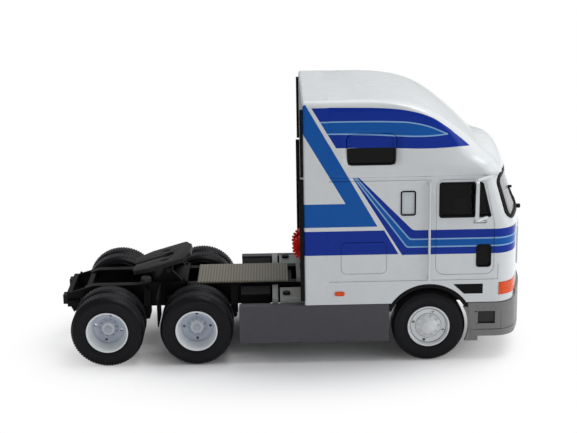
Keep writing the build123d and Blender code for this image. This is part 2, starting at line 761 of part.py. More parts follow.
# Rear axle housings: a tube with the swelling of the final drive in its middle
swelling_radius = 4.2
swelling_half_width = 2.4
swelling_foot_y = 4.4
housing_end_y = twin_inner_y - air_spring_gap
axle_housings = {}
for name, place_x in (("mid_axle_housing", mid_axle_x), ("rear_axle_housing", rear_axle_x)):
    with BuildPart() as housing:
        with BuildSketch(Plane.XY.offset(axle_z)):
            with BuildLine():
                half = [
                    (place_x + swelling_radius, swelling_half_width),
                    (place_x + housing_radius, swelling_foot_y),
                    (place_x + housing_radius, housing_end_y),
                    (place_x, housing_end_y),
                ]
                Polyline(*half, *[(x, -y) for x, y in reversed(half)], close=True)
            make_face()
        revolve(axis=Axis((place_x, 0, axle_z), (0, 1, 0)))
        with BuildSketch(Plane.XZ):
            with Locations((place_x, axle_z)):
                Circle(rod_bore_radius)
        extrude(amount=twin_inner_y, both=True, mode=Mode.SUBTRACT)
    axle_housings[name] = housing

# Rear suspension: a trailing arm from a hanger ahead of each axle to an air spring behind it
arm_reach = hanger_set_ahead + air_spring_set_back
arm_top_z = axle_z + arm_height / 2
with BuildPart() as trailing_arms:
    for place_x in (mid_axle_x, rear_axle_x):
        for side in (-1, 1):
            with BuildSketch(Plane.XZ.offset(-side * arm_y)):
                with Locations((place_x + (hanger_set_ahead - air_spring_set_back) / 2, axle_z)):
                    SlotOverall(arm_reach + arm_height, arm_height)
                with Locations((place_x, axle_z)):
                    Circle(housing_radius + arm_height / 2)
                    Circle(housing_radius, mode=Mode.SUBTRACT)
            extrude(amount=arm_width / 2, both=True)
with BuildPart() as hanger_brackets:
    for place_x in (mid_axle_x, rear_axle_x):
        for side in (-1, 1):
            with BuildSketch(Plane.YZ.offset(place_x + hanger_set_ahead)):
                with BuildLine():
                    rail_y, foot_y = side * rail_outer_y, side * (arm_y + arm_width / 2)
                    Polyline(
                        (rail_y, rail_top_z - rail_thickness),
                        (foot_y, rail_bottom_z + rail_thickness),
                        (foot_y, arm_top_z),
                        (rail_y, arm_top_z),
                        close=True,
                    )
                make_face()
            extrude(amount=hanger_length / 2, both=True)
with BuildPart() as air_springs:
    spring_half_width = (twin_inner_y - rail_outer_y) / 2 - air_spring_gap
    for place_x in (mid_axle_x, rear_axle_x):
        for side in (-1, 1):
            with BuildSketch(Plane.XZ.offset(-side * (rail_outer_y + twin_inner_y) / 2)):
                with Locations((place_x - air_spring_set_back, arm_top_z + air_spring_height / 2)):
                    RectangleRounded(2 * air_spring_radius, air_spring_height, 0.4 * air_spring_radius)
            extrude(amount=spring_half_width, both=True)

# Mud flaps between the driven wheels, each on a bar from its rail
with BuildPart() as mud_flaps:
    flap_x = mid_axle_x - flap_set_back
    flap_top_z = rail_bottom_z + 2.4
    for side in (-1, 1):
        flap_outer_y = track_face - 2 * flap_bar
        with Locations((flap_x, side * (rail_outer_y + flap_outer_y) / 2, flap_top_z - flap_bar / 2)):
            Box(flap_bar, flap_outer_y - rail_outer_y, flap_bar)
        with Locations((flap_x, side * (flap_outer_y - flap_width / 2), flap_top_z - flap_bar - flap_height / 2)):
            Box(flap_thickness, flap_width, flap_height)

# Drive shafts from the engine to the middle axle, and on to the rear one
shaft_radius = 1.0
shaft_gap = 0.2
engine_rear_x = engine_x - engine_length / 2
with BuildPart() as drive_shafts:
    for start, end in (
        ((engine_rear_x - shaft_gap, engine_top_z - 0.65 * engine_height), (mid_axle_x + swelling_radius + shaft_gap, axle_z)),
        ((mid_axle_x - swelling_radius - shaft_gap, axle_z), (rear_axle_x + swelling_radius + shaft_gap, axle_z)),
    ):
        run = Vector(end[0] - start[0], 0, end[1] - start[1])
        with BuildSketch(Plane(origin=(start[0], 0, start[1]), z_dir=run)):
            Circle(shaft_radius)
        extrude(amount=run.length)

# Fuel tanks and their filler caps
tank_middle_y = (tank_inner_y + tank_outer_y) / 2
tank_middle_z = (tank_top_z + tank_bottom_z) / 2
with BuildPart() as fuel_tanks:
    for side in (-1, 1):
        with BuildSketch(Plane.YZ.offset(tank_rear_x)):
            with Locations((side * tank_middle_y, tank_middle_z)):
                RectangleRounded(tank_outer_y - tank_inner_y, tank_top_z - tank_bottom_z, tank_corner_radius)
        extrude(amount=tank_front_x - tank_rear_x)
with BuildPart() as tank_caps:
    for side in (-1, 1):
        cap_y = side * (tank_middle_y + 1.5 * tank_cap_radius)
        with Locations((tank_rear_x + 1.7 * tank_cap_radius, cap_y, tank_top_z + tank_cap_height / 2)):
            Cylinder(tank_cap_radius, tank_cap_height)

# Equipment boxes behind the tanks; plates and brackets that tie both to the rails
box_height = tank_top_z - tank_bottom_z - box_lift
box_middle_x = box_rear_x + box_length / 2
box_middle_z = tank_top_z - box_height / 2
with BuildPart() as equipment_boxes:
    for side in (-1, 1):
        with Locations((box_middle_x, side * (tank_inner_y + box_outer_y) / 2, box_middle_z)):
            Box(box_length, box_outer_y - tank_inner_y, box_height)
with BuildPart() as side_brackets:
    for side in (-1, 1):
        for place_x in (tank_front_x - 2 * bracket_length, tank_rear_x + 2 * bracket_length, box_middle_x):
            bracket_y = side * (rail_outer_y + tank_inner_y) / 2
            with Locations((place_x, bracket_y, rail_top_z - rail_height / 2)):
                Box(bracket_length, tank_inner_y - rail_outer_y, bracket_height)
        with Locations((tank_rear_x - tank_bay / 2, side * (rail_outer_y + box_outer_y) / 2, box_middle_z)):
            Box(bay_plate, box_outer_y - rail_outer_y, box_height)

# Side skirts under the cab, with a lip turned in along the top
with BuildPart() as side_skirts:
    for side in (-1, 1):
        with BuildSketch(Plane.YZ.offset(skirt_rear_x)):
            with BuildLine():
                outer_y, inner_y = side * cab_half_width, side * (cab_half_width - skirt_wall)
                lip_y, lip_z = side * (cab_half_width - skirt_lip), skirt_top_z - skirt_lip_thickness
                Polyline(
                    (outer_y, skirt_bottom_z),
                    (outer_y, skirt_top_z),
                    (lip_y, skirt_top_z),
                    (lip_y, lip_z),
                    (inner_y, lip_z),
                    (inner_y, skirt_bottom_z),
                    close=True,
                )
            make_face()
        extrude(amount=skirt_front_x - skirt_rear_x)

# Wheel arch liners: half rings, ended where the bumper and the skirt begin
with BuildPart() as arch_liners:
    for side in (-1, 1):
        with BuildSketch(Plane.XZ.offset(-side * (cab_half_width - glass_set - liner_depth / 2))):
            with Locations((front_axle_x, axle_z)):
                Circle(arch_radius - glass_gap)
                Circle(arch_radius - liner_band, mode=Mode.SUBTRACT)
            with Locations((front_axle_x, liner_end_z - arch_radius)):
                Rectangle(3 * arch_radius, 2 * arch_radius, mode=Mode.SUBTRACT)
            for low_x, high_x, top_z in (
                (skirt_front_x - arch_radius, skirt_front_x + seam_gap, skirt_top_z + seam_gap),
                (bumper_rear_x - seam_gap, bumper_rear_x + arch_radius, bumper_side_top_z + seam_gap),
            ):
                with Locations(((low_x + high_x) / 2, (liner_end_z + top_z) / 2)):
                    Rectangle(high_x - low_x, top_z - liner_end_z, mode=Mode.SUBTRACT)
        extrude(amount=liner_depth / 2, both=True)

# Cab interior: floor, seats, dashboard, steering wheel and bunk
with BuildPart() as cab_floor:
    with BuildSketch(Plane.XY.offset(floor_z)):
        add(body_plan(cab_front_x, cab_rear_x, wall + inside_gap))
    extrude(amount=floor_thickness)
with BuildPart() as seats:
    for side in (-1, 1):
        with BuildSketch(Plane.XZ.offset(-side * seat_y)):
            with BuildLine():
                seat_x = front_axle_x + seat_set
                Polyline(
                    (seat_x, seat_base_z),
                    (seat_x + seat_length, seat_base_z),
                    (seat_x + seat_length, seat_base_z + seat_height),
                    (seat_x + 0.3 * seat_length, seat_base_z + 0.9 * seat_height),
                    (seat_x, seat_base_z + seat_back_height),
                    (seat_x - 0.2 * seat_length, seat_base_z + seat_back_height),
                    close=True,
                )
            cushion = make_face()
            fillet(cushion.vertices().group_by(Axis.Y)[-1], 0.08 * seat_length)
        extrude(amount=seat_width / 2, both=True)
with BuildPart() as dashboard:
    with BuildSketch(Plane.XZ):
        with BuildLine():
            dash_x, dash_top_z = cab_front_x - dash_length, belt_z + dash_rise
            Polyline(
                (cab_front_x, seat_base_z),
                (cab_front_x, dash_top_z),
                (dash_x + 0.3 * dash_length, dash_top_z),
                (dash_x, dash_top_z - 2 * dash_rise),
                (dash_x + 0.2 * dash_length, seat_base_z),
                close=True,
            )
        make_face()
    extrude(amount=cab_half_width, both=True)
    add(cab_form(wall + inside_gap), mode=Mode.INTERSECT)
column_length = 1.65 * steering_radius
wheel_plane = Plane(origin=(cab_front_x - 1.27 * dash_length, seat_y, belt_z + 0.5), x_dir=(1, 0, 0.45), z_dir=(-0.45, 0, 1))
with BuildPart() as steering_wheel:
    rim_centre = wheel_plane.origin + wheel_plane.x_dir * steering_radius
    with BuildSketch(Plane(origin=rim_centre, x_dir=wheel_plane.x_dir, z_dir=(0, -1, 0))):
        Circle(steering_rim_radius)
    revolve(axis=Axis(wheel_plane.origin, wheel_plane.z_dir))
    with Locations(wheel_plane):
        Cylinder(3 * steering_rim_radius, 1.5 * steering_rim_radius)
        with PolarLocations(steering_radius / 2, 3, start_angle=60):
            Box(steering_radius, 1.8 * steering_rim_radius, steering_rim_radius)
        with Locations((0, 0, -column_length / 2)):
            Cylinder(1.2 * steering_rim_radius, column_length)
with BuildPart() as bunk:
    bunk_front_x, bunk_rear_x = front_axle_x + bunk_front_set, cab_rear_x + wall + inside_gap
    with Locations(((bunk_front_x + bunk_rear_x) / 2, 0, seat_base_z + bunk_height / 2)):
        Box(bunk_front_x - bunk_rear_x, 2 * (cab_half_width - wall - inside_gap), bunk_height)
    fillet(bunk.edges().filter_by(Axis.Y).group_by(Axis.Z)[-1].sort_by(Axis.X)[-1], bunk_height / 8)

# Mirrors: a tall head on two arms from the screen pillar
mirror_set = 14.6
mirror_low_z = 50.3
mirror_high_z = 63.3
mirror_width = 4.2
mirror_thickness = 1.0
mirror_stand_off = 2.0
mirror_arm = 0.7
mirror_arm_foot = 5.0        # arm's foot ahead of the head
mirror_y = cab_half_width + mirror_stand_off + mirror_width / 2
with BuildPart() as mirrors:
    for side in (-1, 1):
        for arm_z in (mirror_low_z - mirror_arm / 2, mirror_high_z + mirror_arm / 2 - seam_gap):
            with BuildSketch(Plane.XY.offset(arm_z)):
                with BuildLine():
                    arm_x, foot_x = front_axle_x + mirror_set, front_axle_x + mirror_set + mirror_arm_foot
                    Polyline(
                        (arm_x - mirror_arm / 2, side * (mirror_y + mirror_arm / 2)),
                        (arm_x + mirror_arm / 2, side * (mirror_y + mirror_arm / 2)),
                        (foot_x + mirror_arm, side * (cab_half_width - wall)),
                        (foot_x - mirror_arm / 2, side * (cab_half_width - wall)),
                        close=True,
                    )
                make_face()
            extrude(amount=mirror_arm / 2, both=True)
    add(cab_form(-wiper_lift), mode=Mode.SUBTRACT)
    for side in (-1, 1):
        with BuildSketch(Plane.YZ.offset(front_axle_x + mirror_set)):
            with Locations((side * mirror_y, (mirror_low_z + mirror_high_z) / 2)):
                RectangleRounded(mirror_width, mirror_high_z - mirror_low_z, 0.2 * mirror_width)
        extrude(amount=mirror_thickness / 2, both=True)

# Grab handles behind the doors, each with a knob at both ends
handle_set = -0.2
handle_low_z = 29.0
handle_high_z = 62.2
handle_radius = 0.4
handle_reach = 1.0
with BuildPart() as grab_handles:
    for side in (-1, 1):
        handle_y = side * (cab_half_width + handle_reach)
        with Locations((front_axle_x + handle_set, handle_y, (handle_low_z + handle_high_z) / 2)):
            Cylinder(handle_radius, handle_high_z - handle_low_z)
        for end_z in (handle_low_z + handle_radius, handle_high_z - handle_radius):
            with Locations((front_axle_x + handle_set, side * (cab_half_width + handle_reach / 2), end_z)):
                Box(2.4 * handle_radius, handle_reach, 3 * handle_radius)

# Coils of the two air lines, rigid mouldings bent round behind a carrier on the cab
coil_bend_radius = 3.4
coil_tube_radius = 1.5
coil_y = 4.6
coil_z = 33.0
coil_set_ahead = 1.2         # centre of the bend ahead of the extender's rear edge
coil_x = extender_rear_x + coil_set_ahead
air_coils = {}
for name, side in (("air_coil_red", -1), ("air_coil_blue", 1)):
    with BuildPart() as coil:
        with BuildSketch(Plane.YZ.offset(coil_x)):
            with Locations((side * coil_y, coil_z - coil_bend_radius)):
                Circle(coil_tube_radius)
        revolve(axis=Axis((coil_x, 0, coil_z), (0, 1, 0)), revolution_arc=180)
    air_coils[name] = coil
with BuildPart() as coil_carrier:
    with Locations(((coil_x + cab_rear_x) / 2, 0, coil_z)):
        carrier_height = 2 * (coil_bend_radius + coil_tube_radius + seam_gap)
        Box(cab_rear_x - coil_x, 2 * (coil_y + coil_tube_radius + seam_gap), carrier_height)

# Fifth wheel: the plate that tilts on its two pins
tilt = radians(plate_tilt)
plate_plane = Plane(
    origin=(pivot_x, 0, plate_pivot_z), x_dir=(cos(tilt), 0, sin(tilt)), z_dir=(-sin(tilt), 0, cos(tilt))
)
stand_arm_y = plate_half_width - bracket_wall
ear_y = stand_arm_y - bracket_wall / 2 - ear_wall
pin_end_y = stand_arm_y + bracket_wall / 2 - pin_clearance
with BuildPart() as coupling_plate:
    with BuildSketch(plate_plane.offset(plate_under)):
        with BuildLine():
            half = [
                (-plate_length_rear, 0.33 * plate_half_width),
                (-0.88 * plate_length_rear, 0.77 * plate_half_width),
                (-0.6 * plate_length_rear, plate_half_width),
                (0.63 * plate_length_front, plate_half_width),
                (plate_length_front, 0.62 * plate_half_width),
            ]
            Polyline(*half, *[(x, -y) for x, y in reversed(half)], close=True)
        outline = make_face()
        fillet(outline.vertices(), plate_thickness / 2)
        Circle(throat_radius, mode=Mode.SUBTRACT)
        with BuildLine():
            mouth = [(-plate_length_rear - 1, 2.6 * throat_radius), (-4 * throat_radius, throat_radius / 2), (0, throat_radius / 2)]
            Polyline(*mouth, *[(x, -y) for x, y in reversed(mouth)], close=True)
        make_face(mode=Mode.SUBTRACT)
    extrude(amount=plate_thickness)
    # grease pockets in the top face
    with BuildSketch(plate_plane.offset(plate_under + plate_thickness)):
        with GridLocations(1, 1.16 * plate_half_width, 1, 2):
            SlotOverall(0.5 * plate_length_front, pivot_pin_radius)
    extrude(amount=-plate_thickness / 3, mode=Mode.SUBTRACT)
    # ears under the plate, with the pins
    for side in (-1, 1):
        with BuildSketch(Plane.XZ.offset(-side * ear_y)):
            with Locations((pivot_x, plate_pivot_z)):
                Circle(plate_under)
            ear_x, ear_z = pivot_x - plate_under / 2 * sin(tilt), plate_pivot_z + plate_under / 2 * cos(tilt)
            with Locations(Location((ear_x, ear_z, 0), (0, 0, plate_tilt))):
                Rectangle(2 * plate_under, plate_under)
        extrude(amount=ear_wall / 2, both=True)
        with BuildSketch(Plane.XZ.offset(-side * pin_end_y)):
            with Locations((pivot_x, plate_pivot_z)):
                Circle(pivot_pin_radius)
        extrude(amount=side * (pin_end_y - ear_y))

# Its stand on the rails: a base, two brackets for the pins, and rests under the plate's rear
with BuildPart() as coupling_stand:
    with Locations((pivot_x + (stand_front - stand_rear) / 2, 0, rail_top_z + stand_thickness / 2)):
        Box(stand_front + stand_rear, 2 * rail_outer_y, stand_thickness)
    stand_top_z = rail_top_z + stand_thickness
    bracket_eye = pivot_pin_radius + pin_clearance + 0.45
    for side in (-1, 1):
        with BuildSketch(Plane.XZ.offset(-side * stand_arm_y)):
            with BuildLine():
                Polyline(
                    (pivot_x - 3.4 * bracket_eye, stand_top_z),
                    (pivot_x - 0.96 * bracket_eye, plate_pivot_z + 0.2 * bracket_eye),
                    (pivot_x + 0.96 * bracket_eye, plate_pivot_z + 0.2 * bracket_eye),
                    (pivot_x + 3.4 * bracket_eye, stand_top_z),
                    close=True,
                )
            make_face()
            with Locations((pivot_x, plate_pivot_z)):
                Circle(bracket_eye)
                Circle(pivot_pin_radius + pin_clearance, mode=Mode.SUBTRACT)
        extrude(amount=bracket_wall / 2, both=True)
        rest_x = pivot_x - rest_reach
        rest_z = plate_pivot_z - rest_reach * tan(tilt) + plate_under / cos(tilt) - rest_gap
        with BuildSketch(Plane.XZ.offset(-side * (ear_y - bracket_wall / 2))):
            with BuildLine():
                rise = rest_size / 2 * tan(tilt)
                Polyline(
                    (rest_x - rest_size / 2, stand_top_z - stand_thickness / 2),
                    (rest_x - rest_size / 2, rest_z - rise),
                    (rest_x + rest_size / 2, rest_z + rise),
                    (rest_x + rest_size / 2, stand_top_z - stand_thickness / 2),
                    close=True,
                )
            make_face()
        extrude(amount=bracket_wall, both=True)


def tyre_ring(place_x, centre_y):
    """A tyre: bowed sidewalls, sloped shoulders and a flat tread."""
    inner, outer = place_x + rim_radius, place_x + tyre_radius
    bead, belly, shoulder, tread = (share * tyre_width for share in (0.43, 0.5, 0.44, 0.34))
    with BuildPart() as ring:
        with BuildSketch(Plane.XY.offset(axle_z)):
            with BuildLine():
                shoulder_x = outer - tread / 3
                for side in (-1, 1):
                    ThreePointArc(
                        (inner, centre_y + side * bead),
                        ((inner + shoulder_x) / 2, centre_y + side * belly),
                        (shoulder_x, centre_y + side * shoulder),
                    )
                    Line((shoulder_x, centre_y + side * shoulder), (outer, centre_y + side * tread))
                Line((outer, centre_y - tread), (outer, centre_y + tread))
                Line((inner, centre_y - bead), (inner, centre_y + bead))
            make_face()
        revolve(axis=Axis((place_x, 0, axle_z), (0, 1, 0)))
    return ring.part


def pressed_rim(place_x, side, inner_y, disc_drop, hub_drop, hub_radius, hole_ring, first_hole):
    """A pressed rim: barrel with a lip, a disc with hand holes, and a hub."""
    disc_y, hub_y = track_face - disc_drop, track_face - hub_drop
    lip = 0.1 * rim_radius
    throat = rim_radius - lip - 0.2 * disc_drop
    with BuildPart() as rim:
        with BuildSketch(Plane.XY.offset(axle_z)):
            with BuildLine():
                section = [
                    (rim_radius, inner_y),
                    (rim_radius, track_face),
                    (rim_radius - 0.6 * lip, track_face),
                    (rim_radius - lip, track_face - 0.9 * lip),
                    (throat, disc_y + 0.3 * lip),
                    (hole_ring - 1.3 * lip, disc_y),
                    (hub_radius + lip, disc_y + 0.7 * lip),
                    (hub_radius, hub_y - 0.4 * lip),
                    (hub_radius - 0.4 * lip, hub_y),
                    (axle_rod_radius, hub_y),
                    (axle_rod_radius, disc_y - 1.2 * lip),
                    (rim_radius - lip, disc_y - 1.2 * lip),
                    (rim_radius - lip, inner_y),
                ]
                Polyline(*[(place_x + r, side * y) for r, y in section], close=True)
            make_face()
        revolve(axis=Axis((place_x, 0, axle_z), (0, 1, 0)))
        with BuildSketch(Plane.XZ.offset(-side * disc_y)):
            with Locations((place_x, axle_z)):
                with PolarLocations(hole_ring, 4, start_angle=first_hole):
                    Circle(hand_hole_radius)
        extrude(amount=2 * lip, both=True, mode=Mode.SUBTRACT)
    return rim.part


# Wheelsets: name, place, inner face of the wheels, then depth of disc and hub below the
# rim's face, radius of the hub, and radius and first angle of the hand holes
wheelsets = (
    ("front", front_axle_x, front_inner_y, 1.2, 0.0, 2.5, 5.2, 74),
    ("mid", mid_axle_x, twin_inner_y, 5.4, 3.5, 2.0, 4.4, 0),
    ("rear", rear_axle_x, twin_inner_y, 5.4, 3.5, 2.0, 4.4, -12),
)
wheel_parts = {}
for name, place_x, inner_y, disc_drop, hub_drop, hub_radius, hole_ring, first_hole in wheelsets:
    with BuildPart() as rod:
        with BuildSketch(Plane.XZ):
            with Locations((place_x, axle_z)):
                Circle(axle_rod_radius)
        extrude(amount=track_face - hub_drop, both=True)
    with BuildPart() as rims:
        for side in (-1, 1):
            add(pressed_rim(place_x, side, inner_y, disc_drop, hub_drop, hub_radius, hole_ring, first_hole))
    with BuildPart() as tyres:
        for side in (-1, 1):
            add(tyre_ring(place_x, side * (track_face - tyre_width / 2)))
            if inner_y < front_inner_y:
                add(tyre_ring(place_x, side * (inner_y + tyre_width / 2)))
    wheel_parts[name + "_axle_rod"] = rod
    wheel_parts[name + "_rims"] = rims
    wheel_parts[name + "_tyres"] = tyres

nodes = {
    "cab_shell": cab_shell,
    "roof_fairing": roof_fairing,
    "air_extender": air_extender,
    "edge_rubbers": edge_rubbers,
    "windscreen": windscreen,
    "door_glass": door_glass,
    "bunk_glass": bunk_glass,
    "loft_glass": loft_glass,
    "side_vents": side_vents,
    "corner_lamps": corner_lamps,
    "headlamps": headlamps,
    "marker_lamps": marker_lamps,
    "grille": grille,
    "wipers": wipers,
    "bumper": bumper,
    "frame_rails": frame_rails,
    "crossmembers": crossmembers,
    "tail_lamps": tail_lamps,
    "tail_hangers": tail_hangers,
    "deck_plate": deck_plate,
    "rear_cab_mount": rear_cab_mount,
    "engine_block": engine_block,
    "front_axle_beam": front_axle_beam,
    "front_springs": front_springs,
    "trailing_arms": trailing_arms,
    "hanger_brackets": hanger_brackets,
    "air_springs": air_springs,
    "mud_flaps": mud_flaps,
    "drive_shafts": drive_shafts,
    "fuel_tanks": fuel_tanks,
    "tank_caps": tank_caps,
    "equipment_boxes": equipment_boxes,
    "side_brackets": side_brackets,
    "side_skirts": side_skirts,
    "arch_liners": arch_liners,
    "cab_floor": cab_floor,
    "seats": seats,
    "dashboard": dashboard,
    "steering_wheel": steering_wheel,
    "bunk": bunk,
    "mirrors": mirrors,
    "grab_handles": grab_handles,
    "coil_carrier": coil_carrier,
    "coupling_plate": coupling_plate,
    "coupling_stand": coupling_stand,
    **axle_housings,
    **air_coils,
    **wheel_parts,
}
for name, piece in nodes.items():
    piece.part.label = name
    export_step(piece.part, f"parts/{name}.step")
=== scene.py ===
from math import atan2, cos, pi, radians, sin, sqrt

import bmesh
import bpy
from mathutils import Matrix, Vector


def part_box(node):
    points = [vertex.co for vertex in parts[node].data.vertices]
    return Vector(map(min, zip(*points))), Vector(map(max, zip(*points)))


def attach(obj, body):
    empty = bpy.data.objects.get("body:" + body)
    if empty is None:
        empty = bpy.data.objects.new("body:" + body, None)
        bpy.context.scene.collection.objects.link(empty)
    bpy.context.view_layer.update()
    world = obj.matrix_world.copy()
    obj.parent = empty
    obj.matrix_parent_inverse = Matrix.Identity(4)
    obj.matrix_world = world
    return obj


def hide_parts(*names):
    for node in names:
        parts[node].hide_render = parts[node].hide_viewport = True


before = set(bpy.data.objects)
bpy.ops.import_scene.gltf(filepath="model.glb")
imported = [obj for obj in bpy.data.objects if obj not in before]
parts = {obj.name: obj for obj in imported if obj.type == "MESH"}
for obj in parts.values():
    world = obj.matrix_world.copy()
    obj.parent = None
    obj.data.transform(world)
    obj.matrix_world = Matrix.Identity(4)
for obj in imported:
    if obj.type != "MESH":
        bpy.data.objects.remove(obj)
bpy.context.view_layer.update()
bpy.context.scene.view_settings.view_transform = "Standard"

# Ladder frame: two rails with crossmembers, springs, arms and axle casings, moulded in satin black
# plastic with a fine grain. The finishes and helpers that every section shares are first needed here.


class Signal:
    """A socket inside a finish. Sums, products and comparisons on it add the nodes they need."""

    def __init__(self, finish, socket):
        self.finish, self.socket = finish, socket

    def math(self, operation, *values):
        return self.finish.node("ShaderNodeMath", {"operation": operation}, dict(enumerate(values)))

    def __add__(self, other):
        return self.math("ADD", self, other)

    def __sub__(self, other):
        return self.math("SUBTRACT", self, other)

    def __rsub__(self, other):
        return self.math("SUBTRACT", other, self)

    def __mul__(self, other):
        return self.math("MULTIPLY", self, other)

    def __gt__(self, other):
        return self.math("GREATER_THAN", self, other)

    def __lt__(self, other):
        return self.math("LESS_THAN", self, other)

    def __abs__(self):
        return self.math("ABSOLUTE", self)

    __radd__, __rmul__ = __add__, __mul__


class Finish:
    """A procedural material round one principled shader, with constant values set on its sockets."""

    def __init__(self, name, **constants):
        self.material = bpy.data.materials.new(name)
        self.material.use_nodes = True
        self.tree = self.material.node_tree
        self.shader = self.tree.nodes["Principled BSDF"]
        for socket, value in constants.items():
            self.shader.inputs[socket.replace("_", " ")].default_value = value

    def node(self, kind, settings=None, inputs=None, output=0):
        """One node: its settings first, then the values or links of its sockets."""
        made = self.tree.nodes.new(kind)
        for name, value in (settings or {}).items():
            if name == "stops":
                ramp = made.color_ramp
                while len(ramp.elements) < len(value):
                    ramp.elements.new(0.5)
                for stop, (place, colour) in zip(ramp.elements, value):
                    stop.position, stop.color = place, colour
            elif name == "curve":
                line = made.mapping.curves[0]
                while len(line.points) < len(value):
                    line.points.new(0.5, 0.5)
                for point, place in zip(line.points, value):
                    point.location = place
                made.mapping.update()
            else:
                setattr(made, name, value)
        for socket, value in (inputs or {}).items():
            if isinstance(value, Signal):
                self.tree.links.new(value.socket, made.inputs[socket])
            else:
                made.inputs[socket].default_value = value
        return Signal(self, made.outputs[output])

    def feed(self, socket, value):
        self.tree.links.new(value.socket, self.shader.inputs[socket])

    def place(self):
        """Object coordinates in millimetres: the whole vector, then X, Y and Z."""
        coordinates = self.node("ShaderNodeTexCoord", output=3)
        scaled = self.node("ShaderNodeVectorMath", {"operation": "SCALE"}, {0: coordinates, "Scale": 1000.0})
        split = self.node("ShaderNodeSeparateXYZ", inputs={0: scaled})
        return scaled, *(Signal(self, split.socket.node.outputs[axis]) for axis in range(3))

    def noise(self, vector, scale, detail=3.0, roughness=0.55):
        return self.node("ShaderNodeTexNoise", inputs={
            "Vector": vector, "Scale": scale, "Detail": detail, "Roughness": roughness})

    def blend(self, share, first, second):
        """A colour between two, each a tuple or a Signal."""
        return self.node(
            "ShaderNodeMix", {"data_type": "RGBA"}, {"Factor": share, 6: first, 7: second}, output=2
        )

    def relief(self, height, distance):
        """A bump as deep as a distance in metres."""
        bump = self.node("ShaderNodeBump", inputs={"Height": height, "Distance": distance, "Strength": 1.0})
        self.feed("Normal", bump)


def tone(red, green, blue):
    """A colour from the 0 to 255 values that it shows on a screen."""
    shares = (value / 255 for value in (red, green, blue))
    return *(share / 12.92 if share < 0.0404 else ((share + 0.055) / 1.055) ** 2.4 for share in shares), 1.0


cloud_scale, roughness_spread = 0.35, 0.16


def moulded(name, colour, roughness, grain=0.012, variation=0.12, **constants):
    """Moulded plastic: slightly cloudy colour, a fine grain and roughness that wanders."""
    finish = Finish(name, **constants)
    vector, *_ = finish.place()
    cloud = finish.noise(vector, cloud_scale)
    darker, lighter = (
        tuple(part * share for part in colour[:3]) + (1.0,) for share in (1 - variation, 1 + variation)
    )
    finish.feed("Base Color", finish.blend(cloud, darker, lighter))
    finish.feed("Roughness", cloud * roughness_spread + (roughness - roughness_spread / 2))
    finish.relief(finish.noise(vector, 7.0, 2.0), grain / 1000)
    return finish


def dress(finish, *names):
    """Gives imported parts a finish, on their object's material slots."""
    for name in names:
        for slot in parts[name].material_slots:
            slot.link, slot.material = "OBJECT", finish.material


def middle_x(node):
    low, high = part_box(node)
    return (low.x + high.x) / 2 * 1000


def made(name, mesh, finish, body, slot, stands_for=(), sharp=35.0):
    """Makes a piece from a bmesh in millimetres and lets it ride on its body."""
    bmesh.ops.remove_doubles(mesh, verts=mesh.verts, dist=0.0005)
    bmesh.ops.scale(mesh, vec=(0.001, 0.001, 0.001), verts=mesh.verts)
    bmesh.ops.recalc_face_normals(mesh, faces=mesh.faces)
    data = bpy.data.meshes.new(name)
    mesh.to_mesh(data)
    mesh.free()
    data.shade_smooth()
    data.set_sharp_from_angle(angle=radians(sharp))
    data.materials.append(finish.material)
    piece = bpy.data.objects.new(name, data)
    bpy.context.scene.collection.objects.link(piece)
    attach(piece, body)
    if stands_for:
        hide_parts(*stands_for)
    return piece


def softened(mesh, geom, width, segments=2, affect="EDGES"):
    """Rounds edges, or the corners of a flat face, by a width."""
    bmesh.ops.bevel(mesh, geom=geom, offset=width, offset_type="OFFSET", segments=segments, profile=0.5,
                    affect=affect, material=-1)


def drum(mesh, centre, radius, depth, along="Y", sides=24, edge=0.0):
    """A disc or peg about a centre, its axis along X, Y or Z."""
    turn = {
        "X": Matrix.Rotation(pi / 2, 4, "Y"), "Y": Matrix.Rotation(pi / 2, 4, "X"), "Z": Matrix.Identity(4),
    }[along]
    verts = bmesh.ops.create_cone(
        mesh, cap_ends=True, segments=sides, radius1=radius, radius2=radius, depth=depth,
        matrix=Matrix.Translation(centre) @ turn,
    )["verts"]
    if edge:
        edges = {e for v in verts for e in v.link_edges}
        softened(mesh, [e for e in edges if {len(f.verts) for f in e.link_faces} == {4, sides}], edge)


frame_black = moulded("frame_black_plastic", tone(10, 10, 11), 0.45, Specular_IOR_Level=0.14)
dress(frame_black, "frame_rails", "crossmembers", "tail_hangers", "engine_block", "front_axle_beam",
      "front_springs", "trailing_arms", "hanger_brackets", "drive_shafts", "side_brackets", "coil_carrier",
      "mid_axle_housing", "rear_axle_housing")

front_x, mid_x, rear_x = (middle_x(name) for name in ("front_tyres", "mid_tyres", "rear_tyres"))
axle_z = 12.2
side_y = 28.5  # half the width over the tyres and over the cab

# Rail bolts: hexagon heads along the webs of the rails, where hangers and crossmembers meet them.
# They are moulded on, in the frame's own black plastic.
rail_low, rail_high = (corner * 1000 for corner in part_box("frame_rails"))
bolt_radius, bolt_depth, mid_shift = 0.42, 0.5, 4.0
rail_bolts = bmesh.new()
for side in (-1, 1):
    bolt_y = side * (rail_high.y + 0.15)
    for place in (-13.0, -9.5, 9.5, 13.5, 17.0, 21.0):
        for height in (17.0, 20.6):
            for axle_x in (rear_x, mid_x + mid_shift):
                drum(rail_bolts, (axle_x + place, bolt_y, height), bolt_radius, bolt_depth, sides=6)
made("rail_bolts", rail_bolts, frame_black, "truck", "frame_black")

# Air springs, equipment boxes and mud flaps, in a dull rubber black. Each flap hangs from a bar that
# reaches out from the rail, close behind the middle axle's tyres.
rubber = moulded("soft_rubber", tone(15, 15, 16), 0.62, grain=0.02, Specular_IOR_Level=0.12)
dress(rubber, "air_springs", "equipment_boxes")


